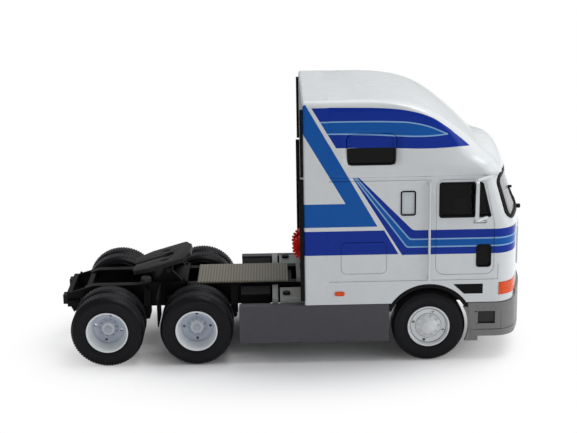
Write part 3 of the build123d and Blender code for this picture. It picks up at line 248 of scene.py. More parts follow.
def block(mesh, low, high, edge=0.0, segments=2):
    """A rectangular block between two corners, with rounded edges."""
    low, high = Vector(low), Vector(high)
    size = Matrix.Diagonal((*(high - low), 1.0))
    verts = bmesh.ops.create_cube(mesh, size=1.0, matrix=Matrix.Translation((low + high) / 2) @ size)["verts"]
    if edge:
        edges = {e for v in verts for e in v.link_edges}
        softened(mesh, list(edges), edge, segments)


flap_x = mid_x - 12.5
flap_foot, flap_top, bar_top = 13.2, 22.7, 23.3
flaps = bmesh.new()
for side in (-1, 1):
    block(flaps, (flap_x - 0.7, side * rail_high.y, flap_top - 0.1), (flap_x, side * 26.4, bar_top), 0.15)
    block(flaps, (flap_x - 0.5, side * 14.4, flap_foot), (flap_x - 0.05, side * 26.6, flap_top), 0.1)
    for place in (16.0, 20.5, 25.0):
        drum(flaps, (flap_x, side * place, 21.9), 0.35, 0.3, along="X", sides=8)
made("mud_flaps_hung", flaps, rubber, "truck", "edge_rubber", ("mud_flaps",))

# Tyres: soft moulded rubber with a gloss on the sidewalls, rings moulded round them, and a ribbed
# tread whose shoulders are cut across, its crowns a lighter grey as a painted highlight. Single in
# front, twin on both rear axles.
tyre_width, twin_gap = 6.7, 0.6
tread_radius, groove_radius = 12.2, 11.9
shoulder_inner, shoulder_outer = 1.42, 2.7
# half a section, from the bead over the sidewall to the middle of the tread: radius and width
tyre_section = [
    (7.0, 2.88), (7.3, 3.0), (7.65, 3.08), (7.72, 3.17), (7.9, 3.19), (7.98, 3.13), (8.6, 3.26), (9.3, 3.33),
    (9.95, 3.33), (10.0, 3.35), (10.2, 3.35), (10.26, 3.26), (10.8, 3.14), (11.18, 3.04), (11.22, 3.08),
    (11.42, 3.02), (11.5, 2.9), (12.05, 2.42), (tread_radius, 2.2), (tread_radius, shoulder_inner),
    (groove_radius, 1.38), (groove_radius, 1.16), (tread_radius, 1.12), (tread_radius, 0.52),
    (groove_radius, 0.48), (groove_radius, 0.26), (tread_radius, 0.22),
]


def tyre(mesh, place_x, centre_y, steps=160, cut=0.24):
    """One tyre: its section spun about the axle, then every other step of the shoulders cut in."""
    section = tyre_section + [(r, -y) for r, y in reversed(tyre_section)]
    verts = [mesh.verts.new((place_x + r, centre_y + y, axle_z)) for r, y in section]
    edges = [mesh.edges.new(pair) for pair in zip(verts, verts[1:] + verts[:1])]
    axle = Vector((place_x, centre_y, axle_z))
    bmesh.ops.spin(mesh, geom=verts + edges, cent=axle, axis=(0, 1, 0), angle=2 * pi, steps=steps,
                   use_merge=True)
    shoulders = []
    for face in mesh.faces:
        away = face.calc_center_median() - axle
        reach, across = sqrt(away.x**2 + away.z**2), abs(away.y)
        step = int((atan2(away.z, away.x) % (2 * pi)) / (2 * pi) * steps)
        if step % 2 and shoulder_inner < across < shoulder_outer and 11.6 < reach < 12.3:
            shoulders.append(face)
    lowered = bmesh.ops.extrude_face_region(mesh, geom=shoulders)["geom"]
    bmesh.ops.delete(mesh, geom=shoulders, context="FACES_ONLY")
    for vert in (v for v in lowered if isinstance(v, bmesh.types.BMVert)):
        away = vert.co - axle
        reach = sqrt(away.x**2 + away.z**2)
        vert.co.x -= away.x / reach * cut
        vert.co.z -= away.z / reach * cut


def join(target, mesh):
    """Adds one bmesh to another and frees it."""
    held = bpy.data.meshes.new("held")
    mesh.to_mesh(held)
    mesh.free()
    target.from_mesh(held)
    bpy.data.meshes.remove(held)


tyre_rubber = Finish("tyre_rubber", Specular_IOR_Level=0.16)
vector, x, y, z = tyre_rubber.place()
cloud = tyre_rubber.noise(vector, 0.5)
# painted highlight: the tread's crowns, at its full radius, are coloured a lighter grey
tread_highlight = None
for place_x in (front_x, mid_x, rear_x):
    away = x - place_x
    reach = away.math("SQRT", away.math("POWER", away, 2.0) + away.math("POWER", z - axle_z, 2.0))
    ring = abs(reach - tread_radius) < 0.14
    tread_highlight = ring if tread_highlight is None else tread_highlight + ring
sidewall = tyre_rubber.blend(cloud, tone(12, 12, 15), tone(20, 20, 24))
tyre_rubber.feed("Base Color", tyre_rubber.blend(tread_highlight, sidewall, tone(40, 40, 43)))
tyre_rubber.feed("Roughness", cloud * 0.2 + 0.28)
tyre_rubber.relief(tyre_rubber.noise(vector, 6.0, 2.0), 0.00002)

for name, place_x, abreast in (("front", front_x, 1), ("mid", mid_x, 2), ("rear", rear_x, 2)):
    tyres = bmesh.new()
    for side in (-1, 1):
        for row in range(abreast):
            ring = bmesh.new()
            tyre(ring, place_x, side * (side_y - tyre_width / 2 - row * (tyre_width + twin_gap)))
            join(tyres, ring)
    made(name + "_tyres_ribbed", tyres, tyre_rubber, name + "_wheelset", "tyre_rubber", (name + "_tyres",))

# Rims: one-piece mouldings in glossy white plastic, each pair on a plain steel rod. The front ones
# stand nearly flush, the driven ones are deep dishes. Nuts and hub caps are moulded on. Painted shade
# darkens the front rims' grooves and, bluish, the driven ones' dishes, nuts and caps.
rim_white = Finish("rim_white_front", Coat_Weight=0.6, Coat_Roughness=0.06)
vector, x, y, z = rim_white.place()
across = (x - front_x).math("POWER", x - front_x, 2.0) + (z - axle_z).math("POWER", z - axle_z, 2.0)
reach = across.math("SQRT", across)
rim_bead, disc_edge = 5.95, 4.3
# painted shade: the grooves at the bead and at the disc's edge are coloured dark grey, as well as pressed in
groove_shade = (abs(reach - rim_bead) < 0.12) + (abs(reach - disc_edge) < 0.06)
rim_white.feed("Base Color", rim_white.blend(groove_shade, tone(214, 216, 218), tone(120, 122, 126)))
rim_white.feed("Roughness", rim_white.noise(vector, 0.8) * 0.1 + 0.22)
rim_white.relief(groove_shade * -1.0, 0.00015)
dress(rim_white, "front_rims")

dish_white = Finish("rim_white_dished", Coat_Weight=0.5, Coat_Roughness=0.08)
vector, x, y, z = dish_white.place()
dish_depth = 5.4
depth = (side_y - abs(y)) * (1 / dish_depth)
# painted shade with a bluish painted reflection, from the rim's edge down to the bottom of the dish
dish_painted_shade = [
    (0.0, tone(224, 227, 228)), (0.72, tone(221, 226, 230)), (0.9, tone(196, 203, 214)),
    (1.0, tone(184, 192, 207)),
]
dish_white.feed("Base Color", dish_white.node("ShaderNodeValToRGB", {"stops": dish_painted_shade}, {0: depth}))
dish_white.feed("Roughness", dish_white.noise(vector, 0.8) * 0.12 + 0.25)
dish_white.relief(dish_white.noise(vector, 3.0), 0.00002)
dress(dish_white, "mid_rims", "rear_rims")

# painted shade: the driven wheels' nuts and caps, white like their rims, are coloured a bluish grey
hub_painted_shade = moulded("hub_white_plastic", tone(176, 183, 193), 0.3, variation=0.03, Specular_IOR_Level=0.3)
rod_steel = Finish("rod_steel", Metallic=1.0)
vector, *_ = rod_steel.place()
streak = rod_steel.noise(vector, 4.0)
rod_steel.feed("Base Color", rod_steel.blend(streak, tone(150, 151, 153), tone(188, 189, 190)))
rod_steel.feed("Roughness", streak * 0.2 + 0.2)
dress(rod_steel, "front_axle_rod", "mid_axle_rod", "rear_axle_rod")

nut_count, nut_radius, nut_depth, stud_radius, stud_depth = 10, 0.4, 0.75, 0.2, 0.3
for name, place_x, nut_ring, nut_y, cap_radius, cap_y, first in (
    ("front", front_x, 3.55, 27.85, 1.95, side_y, 0.0), ("mid", mid_x, 2.75, 23.75, 1.45, 25.0, 18.0),
    ("rear", rear_x, 2.75, 23.75, 1.45, 25.0, 5.0),
):
    nuts = bmesh.new()
    for side in (-1, 1):
        for number in range(nut_count):
            turn = radians(first + 360 / nut_count * number)
            middle = (place_x + nut_ring * cos(turn), side * nut_y, axle_z + nut_ring * sin(turn))
            drum(nuts, middle, nut_radius, nut_depth, sides=6)
            drum(nuts, (middle[0], side * (nut_y + 0.45), middle[2]), stud_radius, stud_depth, sides=8)
        drum(nuts, (place_x, side * (cap_y + 0.1), axle_z), cap_radius, 0.5, sides=48, edge=0.15)
        drum(nuts, (place_x, side * (cap_y + 0.35), axle_z), 0.6 * cap_radius, 0.3, sides=48, edge=0.1)
    nut_finish = rim_white if name == "front" else hub_painted_shade
    made(name + "_wheel_nuts", nuts, nut_finish, name + "_wheelset", "rim_white")

# Fifth wheel: a plate that tilts on two pins over a stand bolted to the rails. On the model both are
# dark plastic, rubbed a little lighter on the plate's face. A stop peg stands on each rail behind it.
coupling_grey = Finish("coupling_dark_grey", Specular_IOR_Level=0.18)
vector, *_ = coupling_grey.place()
rubbed = coupling_grey.noise(vector, 0.8, 5.0)
coupling_grey.feed("Base Color", coupling_grey.blend(rubbed, tone(27, 27, 26), tone(50, 50, 48)))
coupling_grey.feed("Roughness", rubbed * 0.25 + 0.38)
coupling_grey.relief(coupling_grey.noise(vector, 3.0), 0.00008)
dress(frame_black, "coupling_stand")

stand_low, stand_high = (corner * 1000 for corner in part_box("coupling_stand"))
pad_length, pad_foot, pad_top = 5.0, rail_high.z - 3.4, rail_high.z + 0.9
stand_bolts = bmesh.new()
for side in (-1, 1):
    for share in (0.08, 0.3, 0.7, 0.92):
        place = stand_low.x + share * (stand_high.x - stand_low.x)
        drum(stand_bolts, (place, side * 8.9, rail_high.z + 1.15), 0.5, 0.7, along="Z", sides=6)
    # angle pads that tie the stand to the rails' webs
    for pad_x in (stand_low.x + 1.0, stand_high.x - 1.0 - pad_length):
        block(stand_bolts, (pad_x, side * 10.0, pad_foot), (pad_x + pad_length, side * 10.6, pad_top), 0.15)
made("stand_bolts", stand_bolts, frame_black, "truck", "frame_black")
stop_grey = moulded("stop_grey_plastic", tone(58, 58, 61), 0.4, Specular_IOR_Level=0.25)
peg_x, peg_foot, peg_top = front_x - 97.8, rail_high.z - 0.2, 25.5
pegs = bmesh.new()
for side in (-1, 1):
    block(pegs, (peg_x + 0.8, side * 7.7, peg_foot), (peg_x + 4.4, side * 10.3, peg_top), 1.1, 4)
    block(pegs, (peg_x, side * 8.2, peg_foot), (peg_x + 5.2, side * 9.8, rail_high.z + 0.6), 0.25)
made("stop_pegs", pegs, stop_grey, "truck", "frame_black")

# The plate itself: rounded all round, its throat narrow from the rear and wide round the kingpin,
# with an oval hole on each side, and ears with pins below.
pivot_x, pivot_z, tilt = mid_x - 10.1, 27.0, radians(16.0)
plate_top, plate_thick, slot_half = 3.1, 1.5, 0.75
oval_at, oval_y, oval_length, oval_width = -0.6, 5.2, 1.7, 0.75
top = bmesh.new()


def on_plate(along, across, up):
    """A point given along, across and above the tilted plate, from its pins."""
    turned_x = along * cos(tilt) - up * sin(tilt)
    turned_z = along * sin(tilt) + up * cos(tilt)
    return Vector((pivot_x + turned_x, across, pivot_z + turned_z))


def loop(points):
    """A closed run of edges on the plate's face."""
    verts = [top.verts.new(on_plate(along, across, plate_top)) for along, across in points]
    return [top.edges.new(pair) for pair in zip(verts, verts[1:] + verts[:1])]


def arc(middle_along, middle_across, radius, start, end, steps=8):
    """Points along an arc on the plate, from one angle to another."""
    turns = [radians(start + (end - start) * step / steps) for step in range(steps + 1)]
    return [(middle_along + radius * cos(turn), middle_across + radius * sin(turn)) for turn in turns]


def thickened(mesh, faces, shift):
    """Extrudes faces and carries the new ones off by a shift."""
    grown = bmesh.ops.extrude_face_region(mesh, geom=faces)["geom"]
    bmesh.ops.translate(mesh, vec=shift, verts=[v for v in grown if isinstance(v, bmesh.types.BMVert)])


half = [
    (-11.3, 0.9), (-11.9, 2.2), *arc(-10.6, 6.1, 1.5, 170, 115), *arc(-5.6, 7.0, 2.6, 112, 90),
    *arc(5.2, 7.0, 2.6, 90, 55), *arc(7.1, 4.6, 1.5, 50, 0), (8.6, 2.0),
]
throat = [*arc(0.35, 0.0, 2.1, 0, 155, 12), (-5.2, slot_half)]
mirrored = [(along, -across) for along, across in reversed(half)]
throat_back = [(along, -across) for along, across in throat]
outline = throat[1:] + half + mirrored + list(reversed(throat_back[1:]))
rim = loop(outline + [throat[0]])
for side in (-1, 1):
    turns = [2 * pi * step / 20 for step in range(20)]
    rim += loop([
        (oval_at + oval_length * cos(turn), side * oval_y + oval_width * sin(turn)) for turn in turns
    ])
bmesh.ops.triangle_fill(top, edges=rim, use_beauty=True)
thickened(top, top.faces[:], on_plate(0, 0, -plate_thick) - on_plate(0, 0, 0))
bmesh.ops.dissolve_limit(top, angle_limit=0.01, verts=top.verts, edges=top.edges)
upward = on_plate(0, 0, 1) - on_plate(0, 0, 0)
crisp = [e for e in top.edges if len(e.link_faces) == 2 and 1.2 < e.calc_face_angle() < 1.9
         and min((v.co - on_plate(0, 0, plate_top)).dot(upward) for v in e.verts) > -0.1]
softened(top, crisp, 0.22)
for side in (-1, 1):
    drum(top, (pivot_x, side * 7.1, pivot_z), 1.6, 1.0, sides=32)
    drum(top, (pivot_x, side * 8.0, pivot_z), 0.8, 1.6, sides=24)
    block(top, (pivot_x - 1.7, side * 6.6, pivot_z), (pivot_x + 1.2, side * 7.6, pivot_z + 1.7))
made("coupling_top", top, coupling_grey, "coupling", "frame_black", ("coupling_plate",))

# Deck: an aluminium walkway laid on the rails behind the cab, dull and a little warm. Its ribs run
# across the vehicle, paler on their crowns as a painted highlight and darker in the furrows between
# them as painted shade.
deck_metal = Finish("deck_aluminium", Metallic=0.35)
vector, *_ = deck_metal.place()
scuff = deck_metal.noise(vector, 1.4, 5.0)
rib_scale = 0.3142  # one rib to a millimetre
rib_wave = deck_metal.node(
    "ShaderNodeTexWave", {"wave_type": "BANDS", "bands_direction": "X", "wave_profile": "SIN"},
    {"Vector": vector, "Scale": rib_scale, "Distortion": 0.0, "Detail": 0.0},
)
# painted shade in the furrows and a painted highlight on the ribs' crowns
furrow_shade = deck_metal.blend(scuff, tone(108, 104, 93), tone(122, 118, 106))
crown_highlight = deck_metal.blend(scuff, tone(142, 138, 125), tone(162, 157, 143))
deck_metal.feed("Base Color", deck_metal.blend(rib_wave, furrow_shade, crown_highlight))
deck_metal.feed("Roughness", scuff * 0.25 + 0.38)
deck_metal.relief(deck_metal.noise(vector, 5.0), 0.00004)
dress(deck_metal, "deck_plate")

# Tanks: light grey plastic with two straps round each, an upright plate in the bay behind it and a
# black filler cap. The mount across the rails behind the cab is of the same grey.
tank_grey = moulded("tank_grey_plastic", tone(148, 152, 147), 0.38, Specular_IOR_Level=0.25)
strap_grey = moulded("strap_pale_plastic", tone(150, 152, 152), 0.35)
dress(tank_grey, "fuel_tanks", "rear_cab_mount")
dress(frame_black, "tank_caps")
tank_low, tank_high = (corner * 1000 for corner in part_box("fuel_tanks"))
strap_width, strap_proud, strap_bend = 2.3, 0.2, 2.7
straps = bmesh.new()
for side in (-1, 1):
    for place in (tank_high.x - 14.0, tank_high.x - 5.0):
        outer = (place + strap_width, side * (tank_high.y + strap_proud), tank_high.z + strap_proud)
        block(straps, (place, side * 10.6, tank_low.z - strap_proud), outer, strap_bend, 5)
    # upright plate in the bay between tank and box
    outer = (tank_low.x - 0.6, side * (tank_high.y - 0.4), tank_high.z + 0.15)
    block(straps, (tank_low.x - 2.6, side * 10.2, 9.4), outer, 0.2)
made("tank_straps", straps, strap_grey, "truck", "tank_silver")

# Side skirts, in the grey of the cab's lower panels, and the black liners of the front wheel arches,
# with a small foot at each end and a dark apron between arch and skirt.
skirt_grey = moulded("skirt_grey_plastic", tone(72, 71, 76), 0.46, Specular_IOR_Level=0.3)
liner_black = moulded("liner_black_plastic", tone(8, 8, 9), 0.4, Specular_IOR_Level=0.12)
dress(skirt_grey, "side_skirts")
dress(liner_black, "arch_liners")
liner_tabs = bmesh.new()
for side in (-1, 1):
    block(liner_tabs, (front_x + 13.2, side * 26.4, 16.8), (front_x + 16.2, side * 28.4, 18.4), 0.2)
    block(liner_tabs, (front_x - 15.8, side * 26.4, 16.8), (front_x - 13.6, side * 28.4, 18.4), 0.2)
    block(liner_tabs, (front_x - 18.5, side * 24.6, 8.5), (front_x - 13.0, side * 25.4, 20.5), 0.2)
made("liner_tabs", liner_tabs, liner_black, "truck", "edge_rubber")

# Bumper: one moulding in grey, with a step let into each side whose recess is darkened as painted
# shade, studs over and under the step, and returns that follow the arch close to the tyre.
bumper_grey = Finish("bumper_grey_plastic", Specular_IOR_Level=0.35)
vector, x, y, z = bumper_grey.place()
cloud = bumper_grey.noise(vector, cloud_scale)
step_x, step_z, step_half_length, step_half_height = front_x + 20.0, 14.2, 4.2, 3.4
over_step = (abs(x - step_x) < step_half_length) * (abs(z - step_z) < step_half_height)
# painted shade: the inner faces of the step's recess are coloured near black
step_recess_shade = over_step * (abs(y) < 28.3) * (abs(y) > 24.0)
moulding = bumper_grey.blend(cloud, tone(110, 110, 110), tone(122, 122, 120))
bumper_grey.feed("Base Color", bumper_grey.blend(step_recess_shade, moulding, tone(26, 26, 28)))
bumper_grey.feed("Roughness", cloud * roughness_spread + 0.34)
bumper_grey.relief(bumper_grey.noise(vector, 7.0, 2.0), 0.000012)
dress(bumper_grey, "bumper")
return_radius, return_front = 13.2, 16.4
returns = bmesh.new()
for side in (-1, 1):
    turns = [radians(turn) for turn in range(-24, 31, 6)]
    rim = [(front_x + return_radius * cos(turn), axle_z + return_radius * sin(turn)) for turn in turns]
    rim += [(front_x + return_front, rim[-1][1]), (front_x + return_front, rim[0][1])]
    face = returns.faces.new([returns.verts.new((px, side * 28.35, pz)) for px, pz in rim])
    thickened(returns, [face], (0, -side * 1.3, 0))
made("bumper_returns", returns, bumper_grey, "truck", "bumper_grey")
studs = bmesh.new()
for side in (-1, 1):
    for number in range(3):
        for height in (18.3, 12.2):
            drum(studs, (front_x + 16.3 + 2.4 * number, side * 28.52, height), 0.3, 0.2, sides=12, edge=0.06)
made("step_studs", studs, bumper_grey, "truck", "bumper_grey")

# Cab and extender: cast metal and plastic painted a glossy white, as the roof over them. The stripes
# are printed on the sides, two blues with a pale pinstripe, in flat areas with crisp edges.
dark_blue, mid_blue, pin_blue = tone(0, 44, 146), tone(0, 84, 164), tone(130, 170, 208)


def over(x, z, start, end):
    """How far a point lies above the straight line through two (X, Z), in millimetres."""
    slope = (end[1] - start[1]) / (end[0] - start[0])
    return (z - start[1] - (x - start[0]) * slope) * (1 / sqrt(1 + slope**2))


def edge_height(x, *points):
    """A curved edge through a few (X, Z): the height of the edge at each X."""
    low_x, span, low_z, rise = -42.0, 56.0, 70.0, 20.0  # the curve node's own field, 0 to 1 both ways
    curve = [((px - low_x) / span, (pz - low_z) / rise) for px, pz in points]
    along = (x - low_x) * (1 / span)
    curved = x.finish.node("ShaderNodeFloatCurve", {"curve": curve}, {"Factor": 1.0, "Value": along})
    return curved * rise + low_z


def either(first, second):
    """The union of two masks."""
    return first.math("MAXIMUM", first, second)


def swept(x, z, start, corner, rounding):
    """Height above an edge that falls along a slope and then runs level."""
    level = z - corner[1]
    return level.math("SMOOTH_MIN", level, over(x, z, start, corner), rounding)


def striped(finish, x, y, z, plain):
    """The plain colour with the printed stripes over it."""
    pin_half = 0.23  # half a pinstripe's width; those round the lens are a little finer
    lens_half = 0.22
    # the swoosh along the roof, dark, with a lens of mid blue and its pinstripe in it
    upper_edge = edge_height(
        x, (-42.0, 87.1), (-25.0, 87.0), (-12.5, 86.45), (-6.8, 85.6), (-1.0, 83.8), (4.9, 80.15),
        (8.5, 77.1), (11.0, 74.9), (13.2, 72.8), (14.0, 72.0),
    )
    lower_edge = edge_height(
        x, (-42.0, 73.95), (-11.4, 73.5), (-0.9, 73.1), (5.0, 73.1), (9.6, 73.2), (13.2, 72.9), (14.0, 72.8),
    )
    swoosh = (z < upper_edge) * (z > lower_edge) * (over(x, z, (-38.2, 87.05), (-30.5, 73.95)) > 0)
    lens_top = edge_height(
        x, (-42.0, 82.4), (-20.0, 82.4), (-12.5, 82.2), (-6.7, 81.8), (-1.0, 80.45), (2.5, 79.0),
        (5.45, 77.6), (14.0, 73.4),
    )
    lens_foot = edge_height(
        x, (-42.0, 78.6), (-20.0, 78.2), (-3.9, 77.25), (1.95, 77.3), (5.45, 77.6), (14.0, 78.4),
    )
    lens = (z < lens_top) * (z > lens_foot)
    lens_line = either(abs(z - lens_top) < lens_half, abs(z - lens_foot) < lens_half) * (x < 5.6)
    # the band that falls from the extender's top corner, and the block it joins below
    under_slope = over(x, z, (-40.6, 89.0), (-17.0, 47.2)) < 0
    past_notch = either(over(x, z, (-41.2, 78.9), (-27.5, 55.3)) > 0, z < 55.3)
    band = under_slope * past_notch * (z > 47.4)
    slab = (z > 37.8) * (z < 46.05) * (over(x, z, (-14.7, 45.65), (-10.1, 37.6)) < 0)
    # the group that sweeps down and runs level to the nose: dark, mid, dark, with pinstripes between
    group = ((over(x, z, (-25.2, 64.0), (-9.1, 37.6)) > 0) * (z > 37.5) * (z < 64.0)
             * (swept(x, z, (-22.9, 63.75), (-5.5, 45.9), 1.2) < 0))
    upper_pin = swept(x, z, (-23.9, 63.9), (-6.5, 42.8), 1.0)
    lower_pin = swept(x, z, (-24.6, 63.9), (-7.5, 40.15), 1.0)
    outside = (abs(y) > 21.0) * either(x > -30.0, abs(y) > 28.0)
    printed = either(either(swoosh, band), either(slab, group)) * outside
    middle = either(either(swoosh * lens, band), group * (upper_pin < 0) * (lower_pin > 0))
    pinned = either(swoosh * lens_line, group * either(abs(upper_pin) < pin_half, abs(lower_pin) < pin_half))
    blues = finish.blend(pinned, finish.blend(middle, dark_blue, mid_blue), pin_blue)
    return finish.blend(printed, plain, blues), printed


bodywork = Finish("bodywork_paint", Coat_Roughness=0.06, Specular_IOR_Level=0.16)
vector, x, y, z = bodywork.place()
paint_share = bodywork.noise(vector, 0.25)
body_white = bodywork.blend(paint_share, tone(205, 209, 210), tone(216, 219, 220))
colour, printed = striped(bodywork, x - front_x, y, z, body_white)
bodywork.feed("Base Color", colour)
bodywork.feed("Coat Weight", (1.0 - printed) * 0.3 + 0.02)
bodywork.feed("Roughness", paint_share * 0.08 + 0.22)
bodywork.relief(bodywork.noise(vector, 1.2, 2.0), 0.000012)
dress(bodywork, "cab_shell", "air_extender")

# Sleeper roof: one plastic moulding over the cab, closed on top and behind. Its sloped fairing runs
# down into the visor lobe in one soft bend, and each side has an opening for the loft window.
roof_foot, roof_top, roof_rear = 63.9, 89.2, -32.8
window_rear, window_front, window_foot, window_top = -26.7, -11.4, 68.25, 78.0
# the slope in the middle of the roof: height, and place ahead of the front axle
slope_line = (
    (roof_foot, 23.4), (65.0, 23.0), (66.2, 22.5), (67.3, 22.0), (window_foot, 21.5), (69.3, 20.6),
    (70.2, 19.7), (71.0, 18.8), (71.7, 18.0), (72.4, 17.3), (73.2, 16.5), (74.4, 15.3), (76.0, 13.7),
    (window_top, 11.5), (79.8, 9.4), (81.7, 7.1), (83.7, 4.2), (85.4, 1.2), (86.8, -2.0), (87.9, -5.9),
    (88.7, -10.6), (89.1, -15.6), (roof_top, -20.5),
)
side_places = (
    roof_rear, -30.8, -28.8, window_rear, -22.9, -19.0, -15.2, window_front, -8.4, -5.4, -2.4, 0.6,
)


def eased(value, low, high):
    """A soft step from 0 to 1 between two values."""
    share = min(1.0, max(0.0, (value - low) / (high - low)))
    return share * share * (3 - 2 * share)


def front_at(across, up, slope):
    """The roof's front at a place across: the slope, with the visor's lobe growing out of its foot."""
    slope_bow, lobe_bow, lobe_ahead, lobe_lean = 152.0, 72.0, 27.2, 0.5
    sloped = slope - across**2 / (2 * slope_bow)
    crown, turn, blend_reach, blend_rise = 72.0 - 3.4 * (across / 20) ** 2, 3.6, 1.8, 0.45
    over_turn = max(0.0, up - (crown - turn))
    if over_turn >= turn:
        return sloped
    lobe = lobe_ahead - lobe_lean * (up - roof_foot) - across**2 / (2 * lobe_bow)
    lobe -= turn - sqrt(turn**2 - over_turn**2)
    nearness = max(0.0, blend_reach - abs(sloped - lobe)) / blend_reach
    return max(sloped, lobe) + nearness**2 * blend_rise


def roof_point(column, columns, up, slope):
    """A point of the roof on one side, from the rear edge round to the middle of the nose."""
    # the sides draw in above the foot; the corners widen at the visor and tighten again over it
    blend_in = eased(up, 65.5, 74.0)
    corner = 7.5 + 2.5 * eased(up, 65.5, 71.0) - 5.0 * eased(up, 72.0, 82.0)
    shoulder = 3.0
    drop = max(0.0, up - (roof_top - shoulder))
    tuck = shoulder - sqrt(max(0.0, shoulder**2 - drop**2))

    def half_width(place):
        tapered = 28.2 - 4.7 * max(0.0, (place + 6.0) / 30.6) ** 1.35
        return side_y + (tapered - side_y) * blend_in - tuck

    corner_y = half_width(slope) - corner
    bend_x = front_at(corner_y, up, slope) - corner
    corner_y = half_width(bend_x) - corner
    bend_x = front_at(corner_y, up, slope) - corner
    if column < len(side_places):
        last = side_places[-1]
        reach = min(1.0, (bend_x - 2.5 - roof_rear) / (last - roof_rear))
        place = roof_rear + (side_places[column] - roof_rear) * reach
        return place, half_width(place)
    # round the corner and across the bowed nose
    share = (column - len(side_places) + 1) / (columns - len(side_places))
    if share < 0.5:
        turn = pi / 2 * share / 0.5
        return bend_x + corner * sin(turn), corner_y + corner * cos(turn)
    across = corner_y * (1 - (share - 0.5) / 0.5)
    return front_at(across, up, slope), across


roof = bmesh.new()
columns, rows = 34, len(slope_line)
bmesh.ops.create_grid(roof, x_segments=2 * columns - 2, y_segments=rows - 1, size=1.0)
for vert in roof.verts:
    number = round((vert.co.x + 1) / 2 * (2 * columns - 2))
    row = round((vert.co.y + 1) / 2 * (rows - 1))
    side, column = (-1, number) if number < columns else (1, 2 * columns - 2 - number)
    up, slope = slope_line[row]
    place, across = roof_point(column, columns, up, slope)
    lip = 1.1 * max(0.0, 1 - (across / 19) ** 2) if row == 0 and place > 15 else 0.0
    vert.co = (place + 0.25 * lip, side * across, up - lip)
window = []
for face in roof.faces:
    middle = face.calc_center_median()
    if window_rear < middle.x < window_front and window_foot < middle.z < window_top and abs(middle.y) > 27.0:
        window.append(face)
bmesh.ops.delete(roof, geom=window, context="FACES")
# the flat top, then the wall behind
close = 0.01
behind = [v for v in roof.verts if abs(v.co.x - roof_rear) < close]
crest = [e for e in roof.edges if e.is_boundary and min(v.co.z for v in e.verts) > roof_top - close]
crest.append(roof.edges.new([v for v in behind if v.co.z > roof_top - close]))
bmesh.ops.contextual_create(roof, geom=crest)
back = [e for e in roof.edges if e.is_boundary and all(abs(v.co.x - roof_rear) < close for v in e.verts)]
back.append(roof.edges.new([v for v in behind if v.co.z < roof_foot + close]))
bmesh.ops.contextual_create(roof, geom=back)
bmesh.ops.translate(roof, vec=(front_x, 0, 0), verts=roof.verts)
roof_piece = made("roof_skin", roof, bodywork, "truck", "white_paint", ("roof_fairing",), sharp=50.0)
thickness = roof_piece.modifiers.new("wall", "SOLIDIFY")
thickness.thickness, thickness.offset = 0.0009, -1.0

# Loft window: one pane of smoked plastic in each side of the roof, inside a raised outline. Its upper
# part is painted over, with the body's white and stripes.
loft_pane = Finish("loft_pane", Specular_IOR_Level=0.16)
vector, x, y, z = loft_pane.place()
paint_line = 73.75
lower_part = z < paint_line
smoked = loft_pane.blend(loft_pane.noise(vector, 0.2), tone(4, 4, 4), tone(8, 8, 8))
painted, _ = striped(loft_pane, x - front_x, y, z, tone(210, 214, 215))
loft_pane.feed("Base Color", loft_pane.blend(lower_part, painted, smoked))
loft_pane.feed("Roughness", loft_pane.noise(vector, 0.5) * 0.08 + 0.12)
dress(loft_pane, "loft_glass")

# Rivets: small round heads on the extender, down the cab's rear edge and along its waist. They are
# cast with the panels and painted with them.
rivets = bmesh.new()


def rivet(set_x, side, height, radius=0.26):
    """A flattened round head on the side, at a place behind or ahead of the front axle."""
    flat = Matrix.Diagonal((1, 0.55, 1, 1))
    place = Matrix.Translation((front_x + set_x, side * side_y, height)) @ flat
    bmesh.ops.create_icosphere(rivets, subdivisions=1, radius=radius, matrix=place)


waist_z, waist_rivet = 29.1, 0.19
for side in (-1, 1):
    for step in range(24):
        rivet(-40.4, side, 24.0 + 2.6 * step)
        rivet(-33.6, side, 24.0 + 2.6 * step)
    for step in range(26):
        rivet(-31.4 + 1.3 * step, side, waist_z, waist_rivet)
    for step in range(8):
        rivet(12.6 + 1.2 * step, side, waist_z, waist_rivet)
made("body_rivets", rivets, bodywork, "truck", "white_paint")

# Gaskets: black rubber round the windscreen and the side panes, pushed in and standing a little proud.
# The extender's rear edges and the side vents are as black. The loft window's outline is shaped the
# same way, in the finish of its pane.
gasket_black = moulded("gasket_black_rubber", tone(9, 9, 10), 0.45, grain=0.006, Specular_IOR_Level=0.12)


def rounded(mesh, points, radius, at):
    """One flat face with rounded corners. at places a point of the outline in space."""
    face = mesh.faces.new([mesh.verts.new(at(*point)) for point in points])
    softened(mesh, list(face.verts), radius, 6, "VERTICES")


def gasket(target, points, radius, width, at, shift, cuts=0, shape=None):
    """A closed frame of rubber round an opening, as thick as shift carries it."""
    mesh = bmesh.new()
    rounded(mesh, points, radius, at)
    if cuts:
        long_edges = [e for e in mesh.edges if e.calc_length() > 4.0]
        bmesh.ops.subdivide_edges(mesh, edges=long_edges, cuts=cuts)
    pane = mesh.faces[:]
    bmesh.ops.inset_region(mesh, faces=pane, thickness=width, use_boundary=True, use_even_offset=True)
    bmesh.ops.delete(mesh, geom=pane, context="FACES_ONLY")
    thickened(mesh, mesh.faces[:], shift)
    softened(mesh, [e for e in mesh.edges if len(e.link_faces) == 2 and e.calc_face_angle() > 1.2], 0.12)
    if shape:
        for vert in mesh.verts:
            vert.co = shape(vert.co)
    join(target, mesh)


